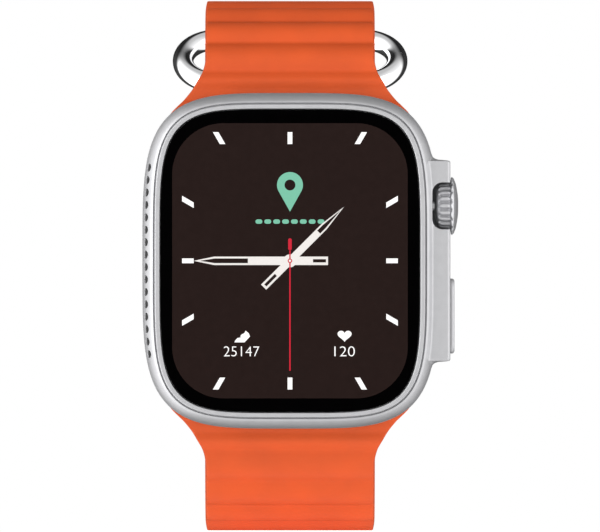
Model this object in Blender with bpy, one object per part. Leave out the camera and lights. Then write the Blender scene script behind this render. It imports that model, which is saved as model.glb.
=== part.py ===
"""A sports watch: a rounded rectangular metal case with a crown guard, on a ridged elastomer band.

The face looks along -Y, the 12 o'clock end is up (+Z) and the crown is on +X.
The origin is the middle of the flat top of the sensor window, where the watch touches the wrist.
Plain numbers in the functions are millimetres; every mesh is scaled to metres when it is made.
"""

import math

import bmesh
import bpy
from mathutils import Vector

MM = 0.001

# Case outline: superellipses around the middle of the face.
CASE_HALF_X = 21.64
CASE_HALF_Z = 24.6
CASE_EXPONENT = 4.1
GLASS_HALF_X = 19.08
GLASS_HALF_Z = 22.25
GLASS_EXPONENT = 4.75
OUTLINE_POINTS = 64

# The crown guard's cross-section, from the back to the front: depth of the plain side wall's point,
# depth of the guard's point, and where it lies: a distance out from the wall or a place along X.
GUARD_SECTION = (
    (-4.0, -4.0, "wall", 0.0),
    (-4.5, -4.1, "wall", 0.3),
    (-5.0, -4.1, "x", 22.9),
    (-5.6, -4.3, "x", 23.35),
    (-6.5, -4.7, "x", 23.5),
    (-10.5, -12.6, "x", 23.5),
    (-11.5, -13.0, "x", 23.35),
    (-12.3, -13.2, "x", 22.9),
    (-12.9, -13.2, "wall", 0.3),
    (-13.3, -13.35, "wall", 0.05),
    (-13.6, -13.6, "wall", 0.0),
)
# How much of the guard stands at a distance beyond its ends.
GUARD_END = ((-0.3, 1.0), (-0.05, 0.9), (0.03, 0.3), (0.3, 0.12), (0.9, 0.0))

# Case depths along Y, from the lip in front to the back plane.
LIP_Y = -14.4
GLASS_SEAT_Y = -12.6
BAY_FLOOR_Y = -9.9
COVER_SEAT_Y = -4.0
BACK_Y = -2.4
SIDE_RADIUS = 5.26
SIDE_FRONT_Y = -10.5
SIDE_BACK_Y = -6.5
BACK_INSET = 3.2
LIP_INSET = 1.45

# Openings in the case, as half sizes.
BAY_HALF = (17.9, 21.1)
CAVITY_HALF = (16.4, 17.2)
CAVITY_EXPONENT = 3.2
COVER_SEAT_HALF = (17.4, 17.9)

# Row of speaker holes on the left side.
SPEAKER_HOLES = 16
SPEAKER_Y = -12.74
SPEAKER_TOP_Z = 13.65
SPEAKER_PITCH = 1.82
SPEAKER_FLOOR_X = -19.8

# Controls on the right side.
CONTROL_Y = -8.2
CROWN_Z = 8.05
BUTTON_Z = -8.1
GUARD_HALF_Z = 14.7
GUARD_X = 23.5
NOTCH_X = 20.85
NOTCH_HEIGHT = 6.9
NOTCH_CORNER = 1.5
NOTCH_BACK_Y = -4.7
CROWN_RADIUS = 3.3
CROWN_GROOVES = 18
CROWN_CAP_RADIUS = 4.3
CROWN_CAP_X = 23.55
CROWN_FACE_X = 24.68
BUTTON_LENGTH = 11.0
BUTTON_FACE_X = 24.13

# Band: bar in the case channel, then a path of arcs.
BAR_Y = -6.5
BAR_Z = 21.9
BAR_RADIUS = 1.9
CHANNEL_RADIUS = 2.2
BAND_ANGLE = 14.0
BAND_HALF_WIDTH = 12.47
BAND_CORE = 1.3
RIDGE_HEIGHT = 0.8
LAYER_STEP = 3.7
LEAD = 3.09
UPPER_ARCS = ((14.7, 86), (125.0, 94), (15.6, 158), (70.0, 180))
LOWER_ARCS = ((16.7, 86), (103.5, 94), (17.0, 158), (70.0, 180))
UPPER_RIDGE_PITCH = 4.6
LOWER_RIDGE_PITCH = 5.0
FIRST_VALLEY = 5.65

# Buckle and keeper.
PIVOT_S = 70.3
FRAME_LENGTH = 14.5
FRAME_HALF_WIDTH = 14.3
FRAME_ROD = 1.4
FRAME_RISE = 3.95
PIN_RADIUS = 0.55
PRONG_ROD = 0.65
SLOT_T = 7.2
SLOT_HALF_LENGTH = 2.3
SLOT_HALF_WIDTH = 1.4
SLOT_DEPTH = 5.0
SLOT_SPACING = 10.0
TAIL_ANGLE = 130.0
KEEPER_ANGLE = 150.0
KEEPER_HALF_WIDTH = 15.95
KEEPER_HALF_HEIGHT = 6.4
KEEPER_CORNER = 5.0
KEEPER_OUTSET = 0.8
KEEPER_ROD = 1.55

COLOURS = {
    "titanium": ((0.55, 0.55, 0.56), 0.32, 1.0),
    "crystal": ((0.004, 0.004, 0.005), 0.05, 0.0),
    "screen": ((0.02, 0.012, 0.011), 0.2, 0.0),
    "black_rubber": ((0.02, 0.02, 0.02), 0.8, 0.0),
    "ceramic": ((0.05, 0.05, 0.055), 0.2, 0.0),
    "sensor_glass": ((0.01, 0.01, 0.012), 0.08, 0.0),
    "steel": ((0.6, 0.6, 0.6), 0.25, 1.0),
    "board": ((0.01, 0.06, 0.03), 0.5, 0.0),
    "copper": ((0.7, 0.3, 0.15), 0.35, 1.0),
    "battery_foil": ((0.25, 0.25, 0.27), 0.4, 0.6),
    "black_plastic": ((0.03, 0.03, 0.03), 0.5, 0.0),
    "orange_elastomer": ((0.82, 0.12, 0.025), 0.5, 0.0),
    "chrome": ((0.85, 0.85, 0.86), 0.05, 1.0),
}


def clear_scene():
    for old in list(bpy.data.objects):
        bpy.data.objects.remove(old, do_unlink=True)


def material(name):
    found = bpy.data.materials.get(name)
    if found:
        return found
    colour, roughness, metallic = COLOURS[name]
    made = bpy.data.materials.new(name)
    made.use_nodes = True
    shader = made.node_tree.nodes["Principled BSDF"]
    shader.inputs["Base Color"].default_value = (*colour, 1.0)
    shader.inputs["Roughness"].default_value = roughness
    shader.inputs["Metallic"].default_value = metallic
    made.diffuse_color = (*colour, 1.0)
    return made


def add_object(name, bm, look, origin=(0.0, 0.0, 0.0)):
    """Turn a bmesh in millimetres into an object whose origin is given in millimetres."""
    bmesh.ops.remove_doubles(bm, verts=bm.verts, dist=0.0001)
    bmesh.ops.recalc_face_normals(bm, faces=bm.faces)
    for vert in bm.verts:
        vert.co = [(value - start) * MM for value, start in zip(vert.co, origin)]
    mesh = bpy.data.meshes.new(name)
    bm.to_mesh(mesh)
    bm.free()
    mesh.shade_smooth()
    mesh.set_sharp_from_angle(angle=math.radians(35))
    made = bpy.data.objects.new(name, mesh)
    made.location = [value * MM for value in origin]
    bpy.context.scene.collection.objects.link(made)
    if look:
        mesh.materials.append(material(look))
    return made


def hide_cutter(cutter):
    cutter.hide_render = True
    cutter.display_type = "WIRE"
    return cutter


def combine(target, tool, operation="DIFFERENCE"):
    modifier = target.modifiers.new(tool.name, "BOOLEAN")
    modifier.operation = operation
    modifier.solver = "EXACT"
    modifier.object = hide_cutter(tool)


def loft(rings, closed=False):
    """Skin a list of rings of equal length; the ends are capped unless the last ring meets the first."""
    bm = bmesh.new()
    rows = [[bm.verts.new(point) for point in ring] for ring in rings]
    count = len(rings[0])
    pairs = list(zip(rows, rows[1:]))
    if closed:
        pairs.append((rows[-1], rows[0]))
    for first, second in pairs:
        for index in range(count):
            after = (index + 1) % count
            bm.faces.new((first[index], first[after], second[after], second[index]))
    if not closed:
        bm.faces.new(rows[0])
        bm.faces.new(rows[-1])
    return bm


def outline_angles():
    """Even directions around the face, and closer ones where the guard ends."""
    angles = [2 * math.pi * index / OUTLINE_POINTS for index in range(OUTLINE_POINTS)]
    for side in (1, -1):
        for past, _ in GUARD_END:
            angles.append(side * math.atan2(GUARD_HALF_Z + past, CASE_HALF_X - 0.4) % (2 * math.pi))
    return sorted(angles)


def outline(half_x, half_z, exponent, y, angles=None):
    """A superellipse ring in the plane at depth y."""
    ring = []
    for angle in angles or EVEN_ANGLES:
        across = abs(math.cos(angle)) / half_x
        along = abs(math.sin(angle)) / half_z
        reach = (across ** exponent + along ** exponent) ** (-1 / exponent)
        ring.append((reach * math.cos(angle), y, reach * math.sin(angle)))
    return ring


EVEN_ANGLES = [2 * math.pi * index / OUTLINE_POINTS for index in range(OUTLINE_POINTS)]
CASE_ANGLES = outline_angles()


def case_ring(inset, y):
    """The case outline, moved inward; at the glass edge it has become the glass outline."""
    part = inset / (CASE_HALF_X - GLASS_HALF_X)
    half_x = CASE_HALF_X + part * (GLASS_HALF_X - CASE_HALF_X)
    half_z = CASE_HALF_Z + part * (GLASS_HALF_Z - CASE_HALF_Z)
    exponent = CASE_EXPONENT + part * (GLASS_EXPONENT - CASE_EXPONENT)
    return outline(half_x, half_z, exponent, y, CASE_ANGLES)


def plate(name, half, exponent, y_front, y_back, look):
    rings = [outline(half[0], half[1], exponent, y) for y in (y_front, y_back)]
    return add_object(name, loft(rings), look)


def frame_ring(name, outer, inner, exponent, y_front, y_back, look):
    rings = [outline(outer[0], outer[1], exponent, y) for y in (y_front, y_back)]
    rings += [outline(inner[0], inner[1], exponent, y) for y in (y_back, y_front)]
    return add_object(name, loft(rings, closed=True), look)


def turned(name, profile, axis, centre, look, sides=24, closed=False):
    """Turn a profile of (radius, distance along the axis) about a line through centre along X or Y."""
    rings = []
    for radius, reach in profile:
        ring = []
        for index in range(sides):
            angle = 2 * math.pi * index / sides
            side, up = radius * math.cos(angle), radius * math.sin(angle)
            offset = (reach, side, up) if axis == "X" else (side, reach, up)
            ring.append(tuple(start + value for start, value in zip(centre, offset)))
        rings.append(ring)
    return add_object(name, loft(rings, closed), look, centre)


def rod(name, radius, start, end, axis, centre, look, sides=20):
    return turned(name, ((radius, start), (radius, end)), axis, centre, look, sides)


def washer(name, outer, inner, start, end, axis, centre, look, sides=24):
    profile = ((outer, start), (outer, end), (inner, end), (inner, start))
    return turned(name, profile, axis, centre, look, sides, closed=True)


def box(name, low, high, look, origin=(0.0, 0.0, 0.0)):
    bm = bmesh.new()
    bmesh.ops.create_cube(bm, size=1.0)
    for vert in bm.verts:
        vert.co = [(a + b) / 2 + value * (b - a) for a, b, value in zip(low, high, vert.co)]
    return add_object(name, bm, look, origin)


def stadium(name, length, width, x_near, x_far, z, look):
    """A bar with round ends, standing out along X, long along Z, on the depth of the controls."""
    radius = width / 2
    rings = []
    for x in (x_near, x_far):
        ring = []
        for end in (1, -1):
            for step in range(9):
                angle = math.pi * step / 8
                rise = end * (length / 2 - radius + radius * math.sin(angle))
                ring.append((x, CONTROL_Y + end * radius * math.cos(angle), z + rise))
        rings.append(ring)
    return add_object(name, loft(rings), look, (x_near, CONTROL_Y, z))


def arc_points(steps, first, last):
    return [math.radians(first + (last - first) * step / steps) for step in range(steps + 1)]


def side_inset(y):
    """How far the plain side wall stands inside the outline at depth y."""
    if y > SIDE_BACK_Y:
        fall = (BACK_Y - y) / (BACK_Y - SIDE_BACK_Y)
        return BACK_INSET * (1 - math.sin(math.acos(1 - fall)))
    rise = max(0.0, SIDE_FRONT_Y - y) / SIDE_RADIUS
    return SIDE_RADIUS * (1 - math.sqrt(1 - rise ** 2))


def guard_share(x, z):
    """1 on the crown guard, 0 away from it, and in between across its ends."""
    past = abs(z) - GUARD_HALF_Z
    if x < 0 or past >= GUARD_END[-1][0]:
        return 0.0
    if past <= GUARD_END[0][0]:
        return 1.0
    for (start, high), (stop, low) in zip(GUARD_END, GUARD_END[1:]):
        if past <= stop:
            return high + (low - high) * (past - start) / (stop - start)
    return 0.0


def guarded_ring(plain_y, guard_y, rule, value):
    """A ring of the side wall that steps out onto the crown guard on the right."""
    plain = case_ring(side_inset(plain_y), plain_y)
    wall = case_ring(side_inset(guard_y), guard_y)
    ring = []
    for (x, _, z), (wall_x, _, _), (full_x, _, full_z) in zip(plain, wall, case_ring(0.0, 0.0)):
        share = guard_share(full_x, full_z)
        guard_x = value if rule == "x" else wall_x + value
        y = plain_y + share * (guard_y - plain_y)
        ring.append((x + share * (guard_x - x), y, z + share * (full_z - z)))
    return ring


def case_profile():
    rings = [case_ring(side_inset(y), y) for y in (BACK_Y, -2.6, -3.1)]
    rings += [guarded_ring(*section) for section in GUARD_SECTION]
    front = SIDE_FRONT_Y - math.sqrt(SIDE_RADIUS ** 2 - (SIDE_RADIUS - LIP_INSET) ** 2)
    rings += [case_ring(side_inset(y), y) for y in (-13.85, front)]
    lip = ((1.47, -13.85), (1.67, -13.85), (1.69, -14.3), (1.85, LIP_Y), (2.4, LIP_Y), (2.56, -14.25))
    rings += [case_ring(inset, y) for inset, y in lip]
    inner = (
        (GLASS_HALF_X, GLASS_HALF_Z, GLASS_EXPONENT, GLASS_SEAT_Y),
        (*BAY_HALF, GLASS_EXPONENT, GLASS_SEAT_Y),
        (*BAY_HALF, GLASS_EXPONENT, BAY_FLOOR_Y),
        (*CAVITY_HALF, CAVITY_EXPONENT, BAY_FLOOR_Y),
        (*CAVITY_HALF, CAVITY_EXPONENT, COVER_SEAT_Y),
        (*COVER_SEAT_HALF, GLASS_EXPONENT, COVER_SEAT_Y),
        (*COVER_SEAT_HALF, GLASS_EXPONENT, BACK_Y),
    )
    rings += [outline(*opening, CASE_ANGLES) for opening in inner]
    return rings


def notch_tool():
    """The crown's notch, open to the front and the side, with round inner corners."""
    corner = NOTCH_CORNER
    half = NOTCH_HEIGHT / 2
    section = [(28.0, -half), (28.0, half)]
    section += [(NOTCH_X + corner - corner * math.sin(turn), half - corner + corner * math.cos(turn))
                for turn in arc_points(4, 0, 90)]
    section += [(NOTCH_X + corner - corner * math.cos(turn), corner - half - corner * math.sin(turn))
                for turn in arc_points(4, 0, 90)]
    rings = [[(x, y, CROWN_Z + rise) for x, rise in section] for y in (-16.0, NOTCH_BACK_Y)]
    return add_object("notch_tool", loft(rings), None)


def channel_tools(end):
    """The round channel for a band bar and its narrower mouth, at the upper (1) or lower (-1) end."""
    centre = (0.0, BAR_Y, end * BAR_Z)
    name = "upper" if end > 0 else "lower"
    channel = rod(f"{name}_channel_tool", CHANNEL_RADIUS, -26, 26, "X", centre, None, 24)
    mouth = box(f"{name}_mouth_tool", (-26, -1.6, 0.0), (26, 1.6, 7.0), None)
    mouth.location = [value * MM for value in centre]
    turn = math.radians(BAND_ANGLE)
    mouth.rotation_euler = (-turn, 0.0, 0.0) if end > 0 else (math.pi + turn, 0.0, 0.0)
    return channel, mouth


def speaker_hole(index):
    """A blind hole in the round part of the left side."""
    centre = (0.0, SPEAKER_Y, SPEAKER_TOP_Z - SPEAKER_PITCH * index)
    return rod(f"speaker_hole_tool_{index}", 0.6, -23, SPEAKER_FLOOR_X, "X", centre, None, 8)


SCREW_PLACES = ((13.9, 14.4), (-13.9, 14.4), (-13.9, -14.4), (13.9, -14.4))


def make_case():
    shell = add_object("case_body", loft(case_profile(), closed=True), "titanium")
    for end in (1, -1):
        for tool in channel_tools(end):
            combine(shell, tool)
        pocket = box(f"pocket_tool_{end}", (-3.1, -6.4, 18.0), (3.1, -2.0, 20.4), None)
        pocket.rotation_euler = (0.0, 0.0 if end > 0 else math.pi, 0.0)
        combine(shell, pocket)
    for index in range(SPEAKER_HOLES):
        combine(shell, speaker_hole(index))
    crown_centre = (0.0, CONTROL_Y, CROWN_Z)
    combine(shell, notch_tool())
    seat_radius = CROWN_CAP_RADIUS + 0.2
    combine(shell, rod("crown_seat_tool", seat_radius, CROWN_CAP_X - 0.4, 27, "X", crown_centre, None, 40))
    combine(shell, rod("crown_bore_tool", 1.62, 14, 21.5, "X", crown_centre, None, 20))
    combine(shell, stadium("button_slot_tool", 11.6, 3.6, 21.6, 27, BUTTON_Z, None))
    combine(shell, rod("button_bore_tool", 1.6, 14, 22, "X", (0.0, CONTROL_Y, BUTTON_Z), None, 16))
    for index, (x, z) in enumerate(SCREW_PLACES):
        combine(shell, rod(f"screw_bore_tool_{index}", 0.75, -6.6, -3.0, "Y", (x, 0.0, z), None, 10))


def make_front():
    plate("front_glass", (18.78, 21.95), GLASS_EXPONENT, -14.15, -13.1, "crystal")
    frame_ring("display_gasket", (18.8, 21.95), (18.1, 21.3), GLASS_EXPONENT, -12.98, -12.72, "black_rubber")
    plate("display_panel", (17.5, 20.6), GLASS_EXPONENT, -12.9, -11.3, "screen")
    plate("inner_frame", (17.5, 20.6), GLASS_EXPONENT, -10.8, -10.2, "steel")


def make_back():
    rings = [outline(17.1, 17.6, GLASS_EXPONENT, y) for y in (-3.4, -2.3)]
    rings += [outline(13.3, 13.3, 2.0, y) for y in (-2.3, -3.4)]
    cover = add_object("back_cover", loft(rings, closed=True), "ceramic")
    for index, (x, z) in enumerate(SCREW_PLACES):
        profile = ((0.85, -5.0), (0.85, -3.0), (1.5, -3.0), (1.5, 0.0))
        combine(cover, turned(f"cover_hole_tool_{index}", profile, "Y", (x, 0.0, z), None, 12))
        make_screw(f"back_screw_{index + 1}", x, z)
    frame_ring("back_gasket", (17.25, 17.75), (16.9, 17.4), GLASS_EXPONENT, -3.85, -3.55, "black_rubber")
    dome = ((13.0, -3.3), (13.0, -2.5), (12.3, -1.75), (10.5, -0.85), (8.0, -0.25), (5.5, 0.0))
    turned("sensor_window", dome, "Y", (0.0, 0.0, 0.0), "sensor_glass", 40)
    rod("sensor_board", 12.0, -5.05, -4.65, "Y", (0.0, 0.0, 0.0), "board", 32)
    rod("optical_sensor", 3.6, -4.4, -3.7, "Y", (0.0, 0.0, 0.0), "black_plastic", 16)
    washer("alignment_magnet", 6.6, 4.6, -4.4, -3.7, "Y", (0.0, 0.0, 0.0), "steel", 20)
    washer("charging_coil", 11.5, 7.4, -4.4, -3.7, "Y", (0.0, 0.0, 0.0), "copper", 24)


def make_screw(name, x, z):
    """A screw from the back cover into the case, with its head below the cover's face."""
    profile = ((1.25, -2.45), (1.25, -2.85), (0.6, -2.85), (0.6, -6.2))
    turned(name, profile, "Y", (x, 0.0, z), "steel", 12)


def make_inside():
    box("battery_cell", (-10.8, -9.4, -11.5), (2.6, -5.4, 9.5), "battery_foil")
    box("main_board", (3.4, -9.5, -12.5), (12.8, -8.9, 12.5), "board")
    box("system_module", (3.9, -8.6, -6.2), (12.3, -6.8, 5.2), "steel")
    box("speaker_module", (-14.6, -9.4, -9.0), (-11.4, -5.4, 9.0), "black_plastic")
    box("speaker_mesh", (-15.4, -9.4, -7.6), (-14.9, -6.4, 7.6), "black_plastic")
    box("gps_antenna", (-6.0, -9.3, 10.6), (2.6, -6.9, 15.4), "ceramic")
    box("microphone", (3.9, -8.6, -12.0), (6.1, -7.6, -9.6), "steel")
    housing = box("haptic_housing", (-8.5, -9.3, -15.6), (1.5, -5.5, -12.1), "steel")
    combine(housing, box("haptic_hollow_tool", (-8.1, -8.9, -15.2), (1.1, -5.0, -12.5), None))
    box("haptic_mass", (-7.1, -8.6, -14.9), (0.1, -5.7, -12.8), "steel", (-3.5, -7.2, -13.8))


def make_crown():
    centre = (0.0, CONTROL_Y, CROWN_Z)
    knob = turned("crown_knob", (
        (2.4, 21.5), (CROWN_RADIUS - 0.5, 21.6), (CROWN_RADIUS, 22.1), (CROWN_RADIUS, CROWN_CAP_X),
        (CROWN_CAP_RADIUS, CROWN_CAP_X), (CROWN_CAP_RADIUS, CROWN_CAP_X + 0.12), (4.05, 24.02), (3.2, 24.35),
        (1.94, 24.57), (1.0, CROWN_FACE_X),
    ), "X", centre, "titanium", 40)
    for index in range(CROWN_GROOVES):
        turn = 2 * math.pi * (index + 0.5) / CROWN_GROOVES
        reach = CROWN_RADIUS + 0.1
        middle = (22.8, CONTROL_Y + reach * math.cos(turn), CROWN_Z + reach * math.sin(turn))
        combine(knob, rod(f"crown_groove_tool_{index}", 0.32, -1.6, 0.5, "X", middle, None, 6))
    rod("crown_shaft", 0.9, 14.9, 21.2, "X", centre, "steel", 16)
    washer("crown_bushing", 1.5, 1.1, 17.0, 20.6, "X", centre, "steel", 20)
    washer("crown_seal", 1.5, 1.05, 16.2, 16.8, "X", centre, "black_rubber", 20)
    rod("crown_pusher", 1.5, 14.2, 14.6, "X", centre, "steel", 16)
    box("crown_switch", (12.95, -9.3, 6.8), (13.6, -7.1, 9.3), "black_plastic")


def make_side_button():
    centre = (0.0, CONTROL_Y, BUTTON_Z)
    stadium("side_button_cap", BUTTON_LENGTH, 3.0, 22.3, BUTTON_FACE_X, BUTTON_Z, "titanium")
    rod("side_button_plunger", 0.8, 15.75, 22.0, "X", centre, "steel", 12)
    washer("side_button_seal", 1.45, 0.95, 17.2, 17.8, "X", centre, "black_rubber", 16)
    box("side_button_switch", (13.4, -9.2, -9.4), (15.2, -7.2, -6.8), "black_plastic")


def make_release_buttons():
    for end, name in ((1, "upper"), (-1, "lower")):
        low, high = sorted((end * 18.3, end * 20.1))
        centre = (0.0, -3.5, end * 19.2)
        box(f"{name}_release_button", (-2.8, -5.0, low), (2.8, BACK_Y - 0.1, high), "titanium", centre)


def walk(arcs, s):
    """Depth, height and heading (degrees from up) at a distance s along a band path from its bar."""
    heading = BAND_ANGLE
    y, z = BAR_Y, BAR_Z
    start = math.radians(heading)
    if s <= LEAD:
        return y + s * math.sin(start), z + s * math.cos(start), heading
    y, z = y + LEAD * math.sin(start), z + LEAD * math.cos(start)
    left = s - LEAD
    for radius, target in arcs:
        length = radius * math.radians(target - heading)
        run = min(left, length)
        turned_to = heading + math.degrees(run / radius)
        a, b = math.radians(heading), math.radians(turned_to)
        y += radius * (math.cos(a) - math.cos(b))
        z += radius * (math.sin(b) - math.sin(a))
        heading = turned_to
        left -= run
        if left <= 0:
            break
    return y, z - max(0.0, left), heading


def path_length(arcs):
    length = LEAD
    heading = BAND_ANGLE
    for radius, target in arcs:
        length += radius * math.radians(target - heading)
        heading = target
    return length


UPPER_LENGTH = path_length(UPPER_ARCS)
LOWER_LENGTH = path_length(LOWER_ARCS)
REAR_GAP = walk(UPPER_ARCS, UPPER_LENGTH)[1] + walk(LOWER_ARCS, LOWER_LENGTH)[1]
FULL_LENGTH = LOWER_LENGTH + REAR_GAP + UPPER_LENGTH
PIVOT_ON_LOWER = FULL_LENGTH - PIVOT_S


def upper_frame(s):
    """Point, forward direction and outward direction in (y, z) on the upper path."""
    y, z, heading = walk(UPPER_ARCS, s)
    turn = math.radians(heading)
    return (y, z), (math.sin(turn), math.cos(turn)), (-math.cos(turn), math.sin(turn))


def lower_frame(s):
    """The same on the lower path, which runs on up the rear and back along the upper one."""
    if s <= LOWER_LENGTH:
        y, z, heading = walk(LOWER_ARCS, s)
        turn = math.radians(heading)
        return (y, -z), (math.sin(turn), -math.cos(turn)), (-math.cos(turn), -math.sin(turn))
    point, ahead, out = upper_frame(FULL_LENGTH - s)
    return point, (-ahead[0], -ahead[1]), out


def smooth(value):
    value = min(1.0, max(0.0, value))
    return value * value * (3 - 2 * value)


def angle_on_upper(angle):
    """Distance along the upper path at which the heading reaches an angle."""
    length = LEAD
    heading = BAND_ANGLE
    for radius, target in UPPER_ARCS:
        run = min(target, angle) - heading
        length += radius * math.radians(run)
        heading += run
        if heading >= angle:
            break
    return length


TAIL_END = FULL_LENGTH - angle_on_upper(TAIL_ANGLE)


def flare_half_width(s):
    z = BAR_Z + s * math.cos(math.radians(BAND_ANGLE))
    if z < 21.6:
        return 17.4 + 0.8 * (21.6 - z)
    return BAND_HALF_WIDTH + 4.93 * max(0.0, (29.2 - z) / 7.6) ** 1.6


def lift(s):
    """How far the long strap has moved outward, over the short one's end."""
    return LAYER_STEP * smooth((s - (PIVOT_ON_LOWER - 15.0)) / 13.0)


def ridge(s, pitch):
    wave = abs(math.sin(math.pi * (s - FIRST_VALLEY) / pitch))
    return RIDGE_HEIGHT * wave * smooth((s - 2.9) / 1.6)


def band_section(point, out, half_width, inner, outer):
    """A closed cross-section with round edges, from inner to outer along the outward direction."""
    middle, half = (inner + outer) / 2, (outer - inner) / 2
    edge = 0.7
    ring = []
    for side in (1, -1):
        for step in range(5):
            turn = math.radians(-90 + 45 * step) * side
            x = side * (half_width - edge + edge * math.cos(turn))
            n = middle + half * math.sin(turn)
            ring.append((x, point[0] + out[0] * n, point[1] + out[1] * n))
    return ring


def bar_stations():
    return [-BAR_RADIUS * math.cos(turn) for turn in arc_points(5, 12, 90)] + [0.7, 1.35, 2.2, 2.9]


def strap_rings(frame_at, stations, pitch, end, outward_lift, end_width, barrel):
    rings = []
    for s in stations:
        point, _, out = frame_at(s)
        core = BAND_CORE
        if abs(s) < BAR_RADIUS:
            bulge = math.sqrt(BAR_RADIUS ** 2 - s ** 2)
            core = bulge if s < 0 else max(BAND_CORE, bulge)
        rise = ridge(s, pitch) * smooth((end - s) / 4.0)
        inner, outer = -core, core + rise
        if barrel and s > end - 2 * barrel:
            bulge = math.sqrt(max(0.0, barrel ** 2 - (s - end + barrel) ** 2))
            half = bulge if s > end - barrel else max(BAND_CORE, bulge)
            inner, outer = -half, half
        shift = outward_lift(s)
        rings.append(band_section(point, out, end_width(s), inner + shift, outer + shift))
    return rings


def even_stations(start, end, step):
    count = max(1, round((end - start) / step))
    return [start + (end - start) * index / count for index in range(count + 1)]


def no_lift(s):
    return 0.0


def make_upper_strap():
    barrel = 1.75
    end = PIVOT_S + barrel
    stations = bar_stations() + even_stations(3.3, end - 2 * barrel, UPPER_RIDGE_PITCH / 4)
    stations += [end - barrel + barrel * math.sin(turn) for turn in arc_points(6, -60, 80)]
    rings = strap_rings(upper_frame, stations, UPPER_RIDGE_PITCH, end, no_lift, flare_half_width, barrel)
    strap = add_object("upper_strap", loft(rings), "orange_elastomer")
    (y, z), ahead, _ = upper_frame(PIVOT_S)
    combine(strap, rod("upper_bore_tool", 0.8, -14, 14, "X", (0.0, y, z), None, 12))
    notch = box("upper_notch_tool", (-1.6, -3.0, -2.3), (1.6, 3.0, 4.0), None)
    notch.location = (0.0, y * MM, z * MM)
    notch.rotation_euler = (-math.atan2(ahead[0], ahead[1]), 0.0, 0.0)
    combine(strap, notch)


def make_lower_strap():
    def half_width(s):
        past = max(0.0, s - (TAIL_END - 6.0)) / 6.0
        return flare_half_width(s) * (1 - 0.75 * past ** 3)

    stations = bar_stations() + even_stations(3.3, TAIL_END, LOWER_RIDGE_PITCH / 4)
    rings = strap_rings(lower_frame, stations, LOWER_RIDGE_PITCH, TAIL_END, lift, half_width, 0.0)
    strap = add_object("lower_strap", loft(rings), "orange_elastomer")
    for index in range(-2, 3):
        s = PIVOT_ON_LOWER - SLOT_T + SLOT_SPACING * index
        point, ahead, out = lower_frame(s)
        high = (SLOT_HALF_WIDTH, SLOT_DEPTH, SLOT_HALF_LENGTH)
        slot = box(f"slot_tool_{index}", [-value for value in high], high, None)
        slot.location = (0.0, (point[0] + out[0] * lift(s)) * MM, (point[1] + out[1] * lift(s)) * MM)
        slot.rotation_euler = (-math.atan2(ahead[0], ahead[1]), 0.0, 0.0)
        combine(strap, slot)


def buckle_point(x, t, n):
    """A point t beyond the pivot towards the lower strap, and n outward from it."""
    (y, z), ahead, out = upper_frame(PIVOT_S)
    return (x, y + ahead[0] * t + out[0] * n, z + ahead[1] * t + out[1] * n)


def tube(name, points, radius, look, sides, closed=False, origin=(0.0, 0.0, 0.0)):
    """Sweep a circle along points that lie in or near one plane."""
    points = [Vector(point) for point in points]
    rings = []
    normal = None
    for index, point in enumerate(points):
        before = points[index - 1] if closed or index else point
        after = points[(index + 1) % len(points)] if closed or index + 1 < len(points) else point
        tangent = (after - before).normalized()
        if normal is None:
            normal = tangent.orthogonal().normalized()
        normal = (normal - tangent * normal.dot(tangent)).normalized()
        side = tangent.cross(normal)
        ring = []
        for step in range(sides):
            turn = 2 * math.pi * step / sides
            ring.append(point + radius * (normal * math.cos(turn) + side * math.sin(turn)))
        rings.append(ring)
    return add_object(name, loft(rings, closed), look, origin)


def frame_rise(t):
    """How far outward the buckle frame has risen, t beyond its pivot."""
    return FRAME_RISE * smooth(t / FRAME_LENGTH * 1.05)


def make_buckle():
    corner = 3.0
    half = FRAME_HALF_WIDTH
    arm = [(half, t) for t in (-1.6, -0.8, 0.0, 1.5, 3.5, 5.5, 7.5, 9.5)]
    arm += [(half - corner + corner * math.cos(turn), FRAME_LENGTH - corner + corner * math.sin(turn))
            for turn in arc_points(5, 0, 90)]
    outline_points = arm + [(-x, t) for x, t in reversed(arm)]
    points = [buckle_point(x, t, frame_rise(t)) for x, t in outline_points]
    pivot = buckle_point(0.0, 0.0, 0.0)
    frame = tube("buckle_frame", points, FRAME_ROD, "chrome", 10, origin=pivot)
    combine(frame, rod("frame_bore_tool", 0.8, -18, 18, "X", pivot, None, 12))
    rod("buckle_pin", PIN_RADIUS, -15.5, 15.5, "X", pivot, "steel", 12)
    route = ((0.9, 0.0), (3.0, 0.0), (5.2, 0.2), (6.3, 0.8), (7.0, 2.0), (7.6, 3.4), (8.5, 4.8), (10.2, 5.8))
    route += ((12.2, 6.25), (14.5, 6.3), (16.0, 6.2))
    path = [buckle_point(0.0, t, n) for t, n in route]
    prong = tube("buckle_prong", path, PRONG_ROD, "chrome", 8, origin=pivot)
    combine(prong, rod("prong_eye_tool", 1.4, -1.1, 1.1, "X", pivot, None, 16), "UNION")
    combine(prong, rod("prong_bore_tool", 0.8, -3, 3, "X", pivot, None, 12))


def make_keeper():
    point, _, out = upper_frame(angle_on_upper(KEEPER_ANGLE))
    middle = (LAYER_STEP + RIDGE_HEIGHT) / 2 + KEEPER_OUTSET
    flat = KEEPER_HALF_WIDTH - KEEPER_CORNER
    points = []
    for turn, side_x in ((0, 1), (90, -1), (180, -1), (270, 1)):
        for angle in arc_points(6, turn, turn + 90):
            x = side_x * flat + KEEPER_CORNER * math.cos(angle)
            n = middle + KEEPER_HALF_HEIGHT * math.sin(angle)
            points.append((x, point[0] + out[0] * n, point[1] + out[1] * n))
    tube("keeper_loop", points, KEEPER_ROD, "chrome", 10, closed=True)


clear_scene()
make_case()
make_front()
make_back()
make_inside()
make_crown()
make_side_button()
make_release_buttons()
make_upper_strap()
make_lower_strap()
make_buckle()
make_keeper()
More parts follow.
